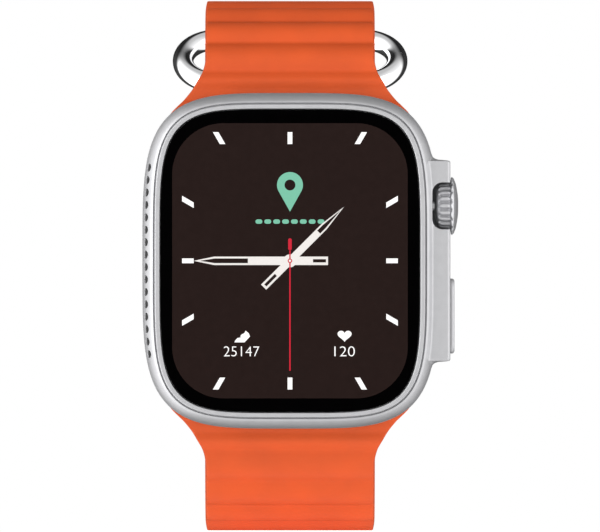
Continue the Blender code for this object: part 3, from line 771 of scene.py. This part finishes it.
def soften_edges(piece, width, segments=2):
    """Break the sharp edges, so that they catch the light."""
    piece.modifiers.clear()
    modifier = piece.modifiers.new("soft_edges", "BEVEL")
    modifier.width = width * MM
    modifier.segments = segments
    modifier.limit_method = "ANGLE"
    modifier.angle_limit = math.radians(50.0)
    weigh_normals(piece)


def plate_rings(half_x, half_z, exponent, levels):
    """Rings for a plate, each level being (depth, distance inside the edge)."""
    return [superellipse(half_x - inset, half_z - inset, exponent, y, PLATE_ANGLES) for y, inset in levels]


def make_glass():
    levels = ((GLASS_HIGH.y, 0.0), (GLASS_Y + 0.04, 0.0), (GLASS_Y, 0.04), (GLASS_Y, 0.2))
    rings = plate_rings(GLASS_BORE_X - GLASS_GAP, GLASS_BORE_Z - GLASS_GAP, GLASS_EXPONENT, levels)
    add_piece("crystal_plate", loft(rings), "crystal", "case", ["front_glass"])


# ---- display graphics

def layer_y(layer):
    """Where a layer of display graphics starts, counted outward from the glass."""
    return GLASS_Y - INK * (layer - 1) - INK_GAP


def ink(name, look, shapes, layer):
    """Thin plates on the glass, from outlines in the plane of the face; a pair is a shape with a hole."""
    bm = bmesh.new()
    near = layer_y(layer)
    far = near - INK
    for shape in shapes:
        if len(shape) == 2:
            outer, inner = shape
            loops = ((outer, near), (outer, far), (inner, far), (inner, near))
        else:
            loops = ((shape, near), (shape, far))
        skin(bm, [[(x, y, z) for x, z in points] for points, y in loops], closed=len(shape) == 2)
    add_piece(name, bm, look, "case", sharp=20.0)


def rounded_rectangle(half_x, half_z, corner, steps=16):
    points = []
    for turn, side_x, side_z in ((0, 1, 1), (90, -1, 1), (180, -1, -1), (270, 1, -1)):
        for angle in arc(steps, turn, turn + 90):
            x = side_x * (half_x - corner) + corner * math.cos(angle)
            points.append((x, side_z * (half_z - corner) + corner * math.sin(angle)))
    return points


def hour_mark(index):
    """A radial bar clipped by the dial's inner and outer rectangles."""
    angle = math.radians(90 - 30 * index)
    ahead = (math.cos(angle), math.sin(angle))
    side = (-ahead[1] * MARK_WIDTH / 2, ahead[0] * MARK_WIDTH / 2)
    level = abs(ahead[1]) * MARK_INNER[0] > abs(ahead[0]) * MARK_INNER[1]
    axis = 1 if level else 0
    corners = []
    for edges, order in ((MARK_INNER, (1, -1)), (MARK_OUTER, (-1, 1))):
        for sign in order:
            start = (side[0] * sign, side[1] * sign)
            goal = math.copysign(edges[axis], ahead[axis])
            run = (goal - start[axis]) / ahead[axis]
            corners.append((start[0] + ahead[0] * run, start[1] + ahead[1] * run))
    return corners


def pointed(tip, shoulder, end, half):
    """A hand's outline along +X: pointed at the tip, with even spacing so that a hole can match it."""
    return [(tip, 0.0), (shoulder, half), ((shoulder + end) / 2, half), (end, half),
            (end, -half), ((shoulder + end) / 2, -half), (shoulder, -half)]


def bar(start, end, half):
    return [(start, half), (start, -half), (end, -half), (end, half)]


def turned_shape(points, angle):
    ahead = (math.cos(angle), math.sin(angle))
    return [(x * ahead[0] - z * ahead[1], x * ahead[1] + z * ahead[0]) for x, z in points]


def hand(angle, tip, shoulder, hole_end, half, wall, tail, slot):
    """A hand with a pointed hollow end, a solid middle and a short slotted tail."""
    slot_start, slot_end, slot_half = slot
    outer = pointed(tip, shoulder, hole_end, half)
    inner = pointed(tip - wall * 3.2, shoulder - wall * 0.2, hole_end + 0.02, half - wall)
    middle = bar(hole_end + 0.1, -slot_start, half)
    tail_outer, tail_inner = bar(-slot_start, -tail, half), bar(-slot_start - 0.01, -slot_end, slot_half)
    return [(turned_shape(outer, angle), turned_shape(inner, angle)), turned_shape(middle, angle),
            (turned_shape(tail_outer, angle), turned_shape(tail_inner, angle))]


def disc(radius):
    return round_points(radius, full_turn(40))


def heart(centre, width, height):
    points = []
    for turn in full_turn(48):
        x = math.sin(turn) ** 3
        z = (13 * math.cos(turn) - 5 * math.cos(2 * turn) - 2 * math.cos(3 * turn) - math.cos(4 * turn)) / 16
        points.append((centre[0] + x * width / 2, centre[1] + (z + 0.13) * height / 1.87))
    return points


def shoe(centre, width, height):
    """A running shoe seen from the side, tilted up at the heel."""
    return [(centre[0] + x * width / 2, centre[1] + z * height / 2) for x, z in SHOE]


def map_pin(centre, radius):
    """A generic place marker: a round head with a hole, running down to a point."""
    outer = round_points(radius, arc(44, -28, 208), centre)
    outer.append((centre[0], centre[1] - 2.05 * radius))
    return outer, round_points(radius * 0.42, arc(45, -86, 266), centre)


def digits(name, text, centre, width, height, layer):
    """A number on the display in Blender's own plain font, as a thin mesh."""
    curve = bpy.data.curves.new(name, "FONT")
    curve.body = text
    curve.size = 1.0
    curve.offset = -0.012
    holder = add_object(name + "_text", curve)
    mesh = bpy.data.meshes.new_from_object(holder.evaluated_get(bpy.context.evaluated_depsgraph_get()))
    bpy.data.objects.remove(holder, do_unlink=True)
    bm = bmesh.new()
    bm.from_mesh(mesh)
    xs, zs = [v.co.x for v in bm.verts], [v.co.y for v in bm.verts]
    for vert in bm.verts:
        x = centre[0] + ((vert.co.x - min(xs)) / (max(xs) - min(xs)) - 0.5) * width
        z = centre[1] + ((vert.co.y - min(zs)) / (max(zs) - min(zs)) - 0.5) * height
        vert.co = (x, layer_y(layer), z)
    grown = bmesh.ops.extrude_face_region(bm, geom=bm.faces[:])
    moved = [item for item in grown["geom"] if isinstance(item, bmesh.types.BMVert)]
    bmesh.ops.translate(bm, verts=moved, vec=(0.0, -INK, 0.0))
    add_piece(name, bm, "white_ink", "case", sharp=20.0)


def make_display():
    ink("display_area", "screen", [rounded_rectangle(*DISPLAY_HALF, DISPLAY_CORNER)], 1)
    ink("hour_marks", "white_ink", [hour_mark(index) for index in range(12)], 2)
    ink("minute_hand", "hand_ink", hand(math.pi, *MINUTE_HAND), 2)
    ink("hour_hand", "hand_ink", hand(math.radians(45), *HOUR_HAND), 3)
    ink("hand_hub", "hand_ink", [disc(0.95)], 4)
    ink("second_hand", "red_ink", [NEEDLE, WEIGHT, disc(0.33)], 5)
    ink("hub_centre", "hand_ink", [disc(0.18)], 6)
    ink("step_icon", "white_ink", [shoe((-6.98, -11.1), 2.3, 1.76)], 2)
    ink("heart_icon", "white_ink", [heart((8.0, -11.05), 2.06, 1.73)], 2)
    digits("step_count", "25147", (-7.09, -13.26), 5.2, 1.47, 2)
    digits("heart_rate", "120", (8.0, -13.26), 3.0, 1.46, 2)
    ink("place_marker", "mint_ink", [map_pin((0.0, 11.1), 1.9)], 2)
    step = rounded_rectangle(0.5, 0.32, 0.3, 4)
    steps = [[(x + 1.3 * (index - 3.5), z + 5.75) for x, z in step] for index in range(8)]
    ink("progress_steps", "mint_ink", steps, 2)


# ---- controls

def crown_ripple(angle, radius, reach):
    """How far the crown's flutes cut into the drum."""
    along = smooth((reach - GROOVE_START) / 0.3) * smooth((GROOVE_END - reach) / 0.4)
    wave = 0.5 - 0.5 * math.cos(angle * CROWN_GROOVES)
    return GROOVE_DEPTH * along * wave ** 2.4 if radius > 2.6 else 0.0


def make_crown():
    drum, cap, face = CROWN_DRUM, CROWN_HIGH.z - CROWN_Z, CROWN_HIGH.x
    corners = ((0.0, 21.4), (2.5, 21.4), (2.93, 21.6), (drum, 22.18), (drum, 23.5), (cap - 0.1, 23.6))
    corners += ((cap, CROWN_CAP_X + 0.2), (4.05, 24.02), (3.2, 24.35), (1.94, 24.57), (1.0, face))
    corners += ((0.0, face),)
    profile = rounded_profile(corners, CROWN_EDGE, 5)
    fine = []
    for (r0, x0), (r1, x1) in zip(profile, profile[1:]):
        fluted = r0 > 3 and r1 > 3 and x1 <= 24.1
        count = max(1, round(abs(x1 - x0) / 0.08)) if fluted else 1
        fine += [(r0 + (r1 - r0) * k / count, x0 + (x1 - x0) * k / count) for k in range(count)]
    fine.append(profile[-1])
    fine[0], fine[-1] = (AXIS, fine[0][1]), (AXIS, fine[-1][1])
    rings = turned_rings(fine, "X", (0.0, CONTROL_Y, CROWN_Z), 216, crown_ripple)
    # The crown is painted lighter than the case's titanium, as painted light on the cap.
    add_piece("crown_cap", loft(rings), "crown_metal_painted_lighter", "crown", ["crown_knob"], sharp=40.0)


def make_side_button():
    near, far, edge = BUTTON_LOW.x, BUTTON_HIGH.x, BUTTON_EDGE
    length, width = BUTTON_HIGH.z - BUTTON_LOW.z, BUTTON_HIGH.y - BUTTON_LOW.y
    levels = [(near, 0.0)]
    levels += [(far - edge + edge * math.sin(turn), edge * (1 - math.cos(turn))) for turn in arc(6, 0, 90)]
    rings = [bar_ring(length, width, x, BUTTON_Z, inset) for x, inset in levels]
    add_piece("side_button_key", loft(rings), "titanium", "side_button", ["side_button_cap"])


def make_release_buttons():
    for name in ("upper_release", "lower_release"):
        bm = box_mesh(*box_mm(f"{name}_button"))
        key = add_piece(f"{name}_key", bm, "titanium", name, [f"{name}_button"])
        soften_edges(key, RELEASE_EDGE, 5)


# ---- back

def make_back():
    rings = plate_rings(*PLATE_HALF, GLASS_EXPONENT, PLATE_LEVELS)
    rings += [superellipse(radius, radius, 2.0, y, PLATE_ANGLES) for radius, y in PLATE_HOLE]
    cover = add_piece("ceramic_back", loft(rings, closed=True), "ceramic", "case", ["back_cover"])
    tools = []
    for number in range(1, 5):
        low, high = box_mm(f"back_screw_{number}")
        x, z = (low.x + high.x) / 2, (low.z + high.z) / 2
        seat = loft(turned_rings(SCREW_SEAT, "Y", (x, 0.0, z), 40))
        tools.append(add_piece(f"screw_seat_tool_{number}", seat))
        make_screw(number, x, z)
    cut(cover, tools)
    profile = list(DOME_RIM) + rounded_profile(DOME, 1.2, 6)
    rings = turned_rings(profile, "Y", (0.0, 0.0, 0.0), 160)
    add_piece("sensor_dome", loft(rings), "window", "case", ["sensor_window"], sharp=50.0)


def make_screw(number, x, z):
    """A back screw with a five-lobed socket."""
    rings = turned_rings(rounded_profile(SCREW, 0.12, 3), "Y", (x, 0.0, z), 40)
    replaced = [f"back_screw_{number}"]
    screw = add_piece(f"cover_screw_{number}", loft(rings), "steel", "case", replaced)
    lobes = [(SOCKET_RADIUS * (1 + SOCKET_LOBE * math.cos(5 * turn)), turn) for turn in full_turn(40)]
    socket = [[(x + reach * math.cos(turn), y, z + reach * math.sin(turn)) for reach, turn in lobes]
              for y in (-2.8, -2.0)]
    cut(screw, [add_piece(f"socket_tool_{number}", loft(socket))])


# ---- band

def walk(arcs, s):
    """Depth, height and heading (degrees from up) at a distance s along a band path from its bar."""
    heading = BAND_ANGLE
    start = math.radians(heading)
    y, z = BAR_Y + min(s, LEAD) * math.sin(start), BAR_Z + min(s, LEAD) * math.cos(start)
    left = s - LEAD
    for radius, target in arcs:
        if left <= 0:
            break
        run = min(left, radius * math.radians(target - heading))
        turned_to = heading + math.degrees(run / radius)
        a, b = math.radians(heading), math.radians(turned_to)
        y += radius * (math.cos(a) - math.cos(b))
        z += radius * (math.sin(b) - math.sin(a))
        heading = turned_to
        left -= run
    return y, z - max(0.0, left), heading


def distance_to(arcs, angle):
    """Distance along a path at which the heading reaches an angle."""
    length = LEAD
    heading = BAND_ANGLE
    for radius, target in arcs:
        length += radius * math.radians(min(target, angle) - heading)
        heading = min(target, angle)
        if target >= angle:
            break
    return length


UPPER_LENGTH = distance_to(UPPER_ARCS, 180)
LOWER_LENGTH = distance_to(LOWER_ARCS, 180)
REAR_GAP = walk(UPPER_ARCS, UPPER_LENGTH)[1] + walk(LOWER_ARCS, LOWER_LENGTH)[1]
FULL_LENGTH = LOWER_LENGTH + REAR_GAP + UPPER_LENGTH
PIVOT_ON_LOWER = FULL_LENGTH - PIVOT_S
TAIL_END = FULL_LENGTH - distance_to(UPPER_ARCS, TAIL_ANGLE)


def upper_frame(s):
    """Point, forward direction and outward direction in (y, z) on the upper path."""
    y, z, heading = walk(UPPER_ARCS, s)
    turn = math.radians(heading)
    return (y, z), (math.sin(turn), math.cos(turn)), (-math.cos(turn), math.sin(turn))


def lower_frame(s):
    """The same on the lower path, which runs on up the rear and back along the upper one."""
    if s <= LOWER_LENGTH:
        y, z, heading = walk(LOWER_ARCS, s)
        turn = math.radians(heading)
        return (y, -z), (math.sin(turn), -math.cos(turn)), (-math.cos(turn), -math.sin(turn))
    point, ahead, out = upper_frame(FULL_LENGTH - s)
    return point, (-ahead[0], -ahead[1]), out


def smooth(value):
    value = min(1.0, max(0.0, value))
    return value * value * (3 - 2 * value)


def flare_half_width(s):
    z = BAR_Z + s * math.cos(math.radians(BAND_ANGLE))
    if z < FLARE_LOW_Z:
        return BAND_HALF_WIDTH + FLARE_WIDTH + 0.8 * (FLARE_LOW_Z - z)
    return BAND_HALF_WIDTH + FLARE_WIDTH * max(0.0, (FLARE_TOP_Z - z) / FLARE_RUN) ** 1.6


def lift(s):
    """How far the long strap has moved outward, over the short one's end."""
    return LAYER_STEP * smooth((s - (PIVOT_ON_LOWER - LIFT_START)) / LIFT_RUN)


def no_lift(s):
    return 0.0


def ridge(s, pitch):
    wave = abs(math.sin(math.pi * (s - FIRST_VALLEY) / pitch))
    return RIDGE_HEIGHT * wave * smooth((s - RIDGE_START) / RIDGE_FADE)


def band_section(point, out, half_width, inner, outer):
    """A closed cross-section with round edges, from inner to outer along the outward direction."""
    middle, half = (inner + outer) / 2, (outer - inner) / 2
    edge = min(BAND_EDGE, half)
    ring = []
    for side in (1, -1):
        for step in range(13):
            turn = math.radians(-90 + 15 * step) * side
            x = side * (half_width - edge + edge * math.cos(turn))
            n = middle + (half - edge) * max(-1.0, min(1.0, turn / math.radians(60))) + edge * math.sin(turn)
            ring.append((x, point[0] + out[0] * n, point[1] + out[1] * n))
    return ring


def strap_rings(frame_at, stations, pitch, end, outward_lift, end_width, barrel):
    rings = []
    for s in stations:
        point, _, out = frame_at(s)
        core = BAND_CORE
        if abs(s) < BAR_RADIUS:
            bulge = math.sqrt(BAR_RADIUS ** 2 - s ** 2)
            core = bulge if s < 0 else max(BAND_CORE, bulge)
        inner, outer = -core, core + ridge(s, pitch) * smooth((end - s) / 4.0)
        if barrel and s > end - 2 * barrel:
            bulge = math.sqrt(max(0.0, barrel ** 2 - (s - end + barrel) ** 2))
            half = bulge if s > end - barrel else max(BAND_CORE, bulge)
            inner, outer = -half, half
        shift = outward_lift(s)
        rings.append(band_section(point, out, end_width(s), inner + shift, outer + shift))
    return rings


def even(start, end, step):
    count = max(1, round((end - start) / step))
    return [start + (end - start) * index / count for index in range(count + 1)]


def bar_stations():
    return [-BAR_RADIUS * math.cos(turn) for turn in arc(9, 8, 90)] + even(0.2, 3.1, 0.25)


def add_strap(name, rings, replaced, tools):
    strap = add_piece(name, loft(rings), "orange", "band", [replaced], sharp=60.0)
    strap.visible_glossy = False
    cut(strap, tools, sharp=60.0)


def make_upper_strap():
    end = PIVOT_S + BARREL
    stations = bar_stations() + even(3.3, end - 2 * BARREL, UPPER_RIDGE_PITCH / 16)
    stations += [end - BARREL + BARREL * math.sin(turn) for turn in arc(14, -60, 84)]
    rings = strap_rings(upper_frame, stations, UPPER_RIDGE_PITCH, end, no_lift, flare_half_width, BARREL)
    (y, z), ahead, _ = upper_frame(PIVOT_S)
    tilt = -math.atan2(ahead[0], ahead[1])
    bore = rod("band_bore_tool", PIVOT_BORE, -14, 14, (0.0, y, z), 24)
    notch = block("band_notch_tool", *PRONG_NOTCH, (0.0, y, z), tilt)
    add_strap("upper_band", rings, "upper_strap", [bore, notch])


def slot_tool(index):
    """A round-ended slot through the long strap, for the prong."""
    s = PIVOT_ON_LOWER - SLOT_T + SLOT_SPACING * index
    point, ahead, out = lower_frame(s)
    ring = []
    for end in (1, -1):
        for turn in arc(8, 0, 180):
            x, t = SLOT_RADIUS * math.cos(turn), SLOT_HALF + SLOT_RADIUS * math.sin(turn)
            ring.append((end * x, end * t))
    rings = []
    for reach in (-5.0, 5.0):
        n = lift(s) + reach
        y, z = point[0] + out[0] * n, point[1] + out[1] * n
        rings.append([(x, y + ahead[0] * t, z + ahead[1] * t) for x, t in ring])
    return add_piece(f"slot_tool_{index}", loft(rings))


def make_lower_strap():
    def half_width(s):
        past = max(0.0, s - (TAIL_END - TAIL_RUN)) / TAIL_RUN
        return flare_half_width(s) * (1 - TAIL_NARROWING * past ** 3)

    stations = bar_stations() + even(3.3, TAIL_END, LOWER_RIDGE_PITCH / 16)
    rings = strap_rings(lower_frame, stations, LOWER_RIDGE_PITCH, TAIL_END, lift, half_width, 0.0)
    add_strap("lower_band", rings, "lower_strap", [slot_tool(index) for index in range(-2, 3)])


def buckle_point(x, t, n):
    """A point t beyond the pivot towards the lower strap, and n outward from it."""
    (y, z), ahead, out = upper_frame(PIVOT_S)
    return (x, y + ahead[0] * t + out[0] * n, z + ahead[1] * t + out[1] * n)


def spline(points, steps):
    """A smooth line through points (Catmull-Rom)."""
    points = [Vector(point) for point in points]
    padded = [points[0] * 2 - points[1]] + points + [points[-1] * 2 - points[-2]]
    line = []
    for p0, p1, p2, p3 in zip(padded, padded[1:], padded[2:], padded[3:]):
        for step in range(steps):
            t = step / steps
            line.append(0.5 * (2 * p1 + (p2 - p0) * t + (2 * p0 - 5 * p1 + 4 * p2 - p3) * t ** 2
                               + (3 * p1 - p0 - 3 * p2 + p3) * t ** 3))
    return line + [points[-1]]


def make_buckle():
    corner, half = FRAME_CORNER, FRAME_HALF_WIDTH
    arm = [(half, t) for t in even(-0.35, FRAME_LENGTH - corner, 0.6)]
    arm += round_points(corner, arc(12, 0, 90)[1:], (half - corner, FRAME_LENGTH - corner))
    arm += [(-x, t) for x, t in reversed(arm)]
    points = [buckle_point(x, t, FRAME_RISE * smooth(t / FRAME_LENGTH * 1.05)) for x, t in arm]
    pivot = buckle_point(0.0, 0.0, 0.0)
    bm = loft(sweep(points, FRAME_ROD, 28))
    loop = add_piece("buckle_loop", bm, "chrome", "buckle", ["buckle_frame"])
    cut(loop, [rod("buckle_bore_tool", PIVOT_BORE, -18, 18, pivot, 28)])

    corners = ((AXIS, -PIN_HALF), (PIN_RADIUS, -PIN_HALF), (PIN_RADIUS, PIN_HALF), (AXIS, PIN_HALF))
    rings = turned_rings(rounded_profile(corners, 0.12, 3), "X", pivot, 28)
    add_piece("pivot_pin", loft(rings), "steel", "band", ["buckle_pin"])

    points = spline([buckle_point(0.0, t, n) for t, n in PRONG_ROUTE], 4)
    bm = loft(sweep(points, PRONG_ROD, 20))
    prong = add_piece("prong", bm, "chrome", "prong", ["buckle_prong"])
    cut(prong, [rod("prong_eye_tool", PRONG_EYE, -1.1, 1.1, pivot, 40)], "UNION")
    cut(prong, [rod("prong_bore_tool", PIVOT_BORE, -3, 3, pivot, 28)])


def make_keeper():
    point, _, out = upper_frame(distance_to(UPPER_ARCS, KEEPER_ANGLE))
    middle = (LAYER_STEP + RIDGE_HEIGHT) / 2 + KEEPER_OUTSET
    points = []
    for x, rise in rounded_rectangle(KEEPER_HALF_WIDTH, KEEPER_CORNER, KEEPER_CORNER, 24):
        n = middle + rise * KEEPER_HALF_HEIGHT / KEEPER_CORNER
        points.append((x, point[0] + out[0] * n, point[1] + out[1] * n))
    bm = loft(sweep(points, KEEPER_ROD, 36, closed=True), closed=True)
    add_piece("keeper_ring", bm, "chrome", "keeper", ["keeper_loop"])


# ---- carried-over nodes

CARRIED = {
    "screen": ("display_panel",),
    "rubber": ("display_gasket", "back_gasket", "speaker_mesh", "crown_seal", "side_button_seal"),
    "steel": ("inner_frame", "alignment_magnet", "system_module", "microphone", "haptic_housing",
              "haptic_mass", "crown_bushing", "crown_pusher", "crown_shaft", "side_button_plunger"),
    "board": ("sensor_board", "main_board"),
    "plastic": ("optical_sensor", "speaker_module", "crown_switch", "side_button_switch"),
    "copper": ("charging_coil",),
    "foil": ("battery_cell",),
    "ceramic": ("gps_antenna",),
}


def dress_carried_nodes():
    for look, nodes in CARRIED.items():
        for node in nodes:
            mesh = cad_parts[node].data
            mesh.materials.clear()
            mesh.materials.append(LOOKS[look])


# ---- studio

# Metres. The picture is as wide as VIEW_WIDTH at the case.
VIEW_CENTRE = (0.00147, -0.0085, -0.00076)
VIEW_WIDTH = 0.08803
CAMERA_DISTANCE = 3.2
SENSOR_WIDTH = 36.0
FLOOR_RADIUS = 90.0
FLOOR_GAP = 0.9
WHITE = (1.0, 1.0, 1.0, 1.0)
# Name, place, size and power; reflections don't show the last one.
LIGHTS = (
    ("left_box", (-0.5, -0.35, 0.1), (0.4, 0.7), 1.0),
    ("right_box", (0.5, -0.3, 0.1), (0.4, 0.7), 0.6),
    ("front_top_box", (0.0, -0.6, 0.6), (0.6, 0.3), 0.3),
    ("rear_box", (0.1, 0.7, 0.3), (0.7, 0.5), 1.6),
)


def soft_light(name, place, size, power):
    """A rectangular lamp that faces the object."""
    data = bpy.data.lights.new(name, "AREA")
    data.shape = "RECTANGLE"
    data.size, data.size_y = size
    data.energy = power
    light = add_object(name, data)
    light.location = place
    light.rotation_euler = (-light.location).to_track_quat("-Z", "Y").to_euler()
    return light


def make_camera():
    """A long lens straight in front of the face."""
    x, y, z = VIEW_CENTRE
    data = bpy.data.cameras.new("camera")
    data.sensor_width = SENSOR_WIDTH
    data.lens = SENSOR_WIDTH * CAMERA_DISTANCE / VIEW_WIDTH
    data.clip_end = 20.0
    camera = add_object("camera", data)
    camera.location = (x, y - CAMERA_DISTANCE, z)
    camera.rotation_euler = (math.pi / 2, 0.0, 0.0)
    bpy.context.scene.camera = camera


def make_world():
    """White behind the object for the lens.

    Its reflections see bright sides, a dark rear and a dark card around the camera. Its matt surfaces are
    lit mostly from the front.
    """
    world = bpy.data.worlds.new("studio")
    bpy.context.scene.world = world
    world.use_nodes = True
    tree = world.node_tree
    tree.nodes.clear()

    def ramp(source, start, stop, low, high):
        inputs = {"From Min": start, "From Max": stop, "To Min": low, "To Max": high}
        made = add_node(tree, "ShaderNodeMapRange", inputs, interpolation_type="SMOOTHSTEP")
        tree.links.new(source, made.inputs["Value"])
        return made.outputs["Result"]

    def product(first, second):
        made = add_node(tree, "ShaderNodeMath", {}, operation="MULTIPLY")
        tree.links.new(first, made.inputs[0])
        tree.links.new(second, made.inputs[1])
        return made.outputs[0]

    split = add_node(tree, "ShaderNodeSeparateXYZ", {})
    tree.links.new(add_node(tree, "ShaderNodeTexCoord", {}).outputs["Generated"], split.inputs[0])
    x, y, z = split.outputs
    card = ramp(y, -0.991, -0.985, 0.01, 1.0)
    rear = ramp(y, 0.35, 0.6, 1.0, 0.03)
    ends = product(ramp(z, 0.3, 0.8, 1.0, 0.65), ramp(z, -0.8, -0.3, 1.1, 1.0))
    sides = product(ramp(x, 0.25, 0.7, 1.0, 1.5), ramp(x, -0.7, -0.25, 2.1, 0.9))
    gloss = product(product(card, rear), product(ends, sides))
    soft = product(ramp(y, -0.9, 0.5, 1.2, 0.2), ramp(z, -0.8, 0.5, 1.7, 0.75))

    paths = add_node(tree, "ShaderNodeLightPath", {})
    last = add_node(tree, "ShaderNodeBackground", {"Color": WHITE}).outputs[0]
    for strength, ray in ((gloss, "Is Glossy Ray"), (soft, "Is Diffuse Ray")):
        background = add_node(tree, "ShaderNodeBackground", {"Color": WHITE})
        tree.links.new(strength, background.inputs["Strength"])
        mix = add_node(tree, "ShaderNodeMixShader", {})
        for index, source in enumerate((paths.outputs[ray], last, background.outputs[0])):
            tree.links.new(source, mix.inputs[index])
        last = mix.outputs[0]
    tree.links.new(last, add_node(tree, "ShaderNodeOutputWorld", {}).inputs["Surface"])


def make_floor():
    bm = bmesh.new()
    bmesh.ops.create_circle(bm, cap_ends=True, radius=FLOOR_RADIUS, segments=96)
    bmesh.ops.translate(bm, verts=bm.verts, vec=(0.0, 0.0, CAD_BOX[0][2] / MM - FLOOR_GAP))
    floor = add_piece("floor", bm)
    look = Surface("floor_white", (0.8, 0.8, 0.8), 0.7)
    look.tint(look.noise(30.0), (0.78, 0.78, 0.78), (0.82, 0.82, 0.82))
    look.set("Emission Color", WHITE)
    look.set("Emission Strength", 0.7)
    floor.data.materials.append(look.material)
    floor.visible_glossy = False


def make_studio():
    make_world()
    make_camera()
    make_floor()
    for name, place, size, power in LIGHTS:
        light = soft_light(name, place, size, power)
    light.visible_glossy = False
    bpy.context.scene.view_settings.view_transform = "Standard"


LOOKS = make_looks()
make_studio()
make_case()
make_speaker_gauze()
make_glass()
make_display()
make_crown()
make_side_button()
make_release_buttons()
make_back()
make_upper_strap()
make_lower_strap()
make_buckle()
make_keeper()
dress_carried_nodes()
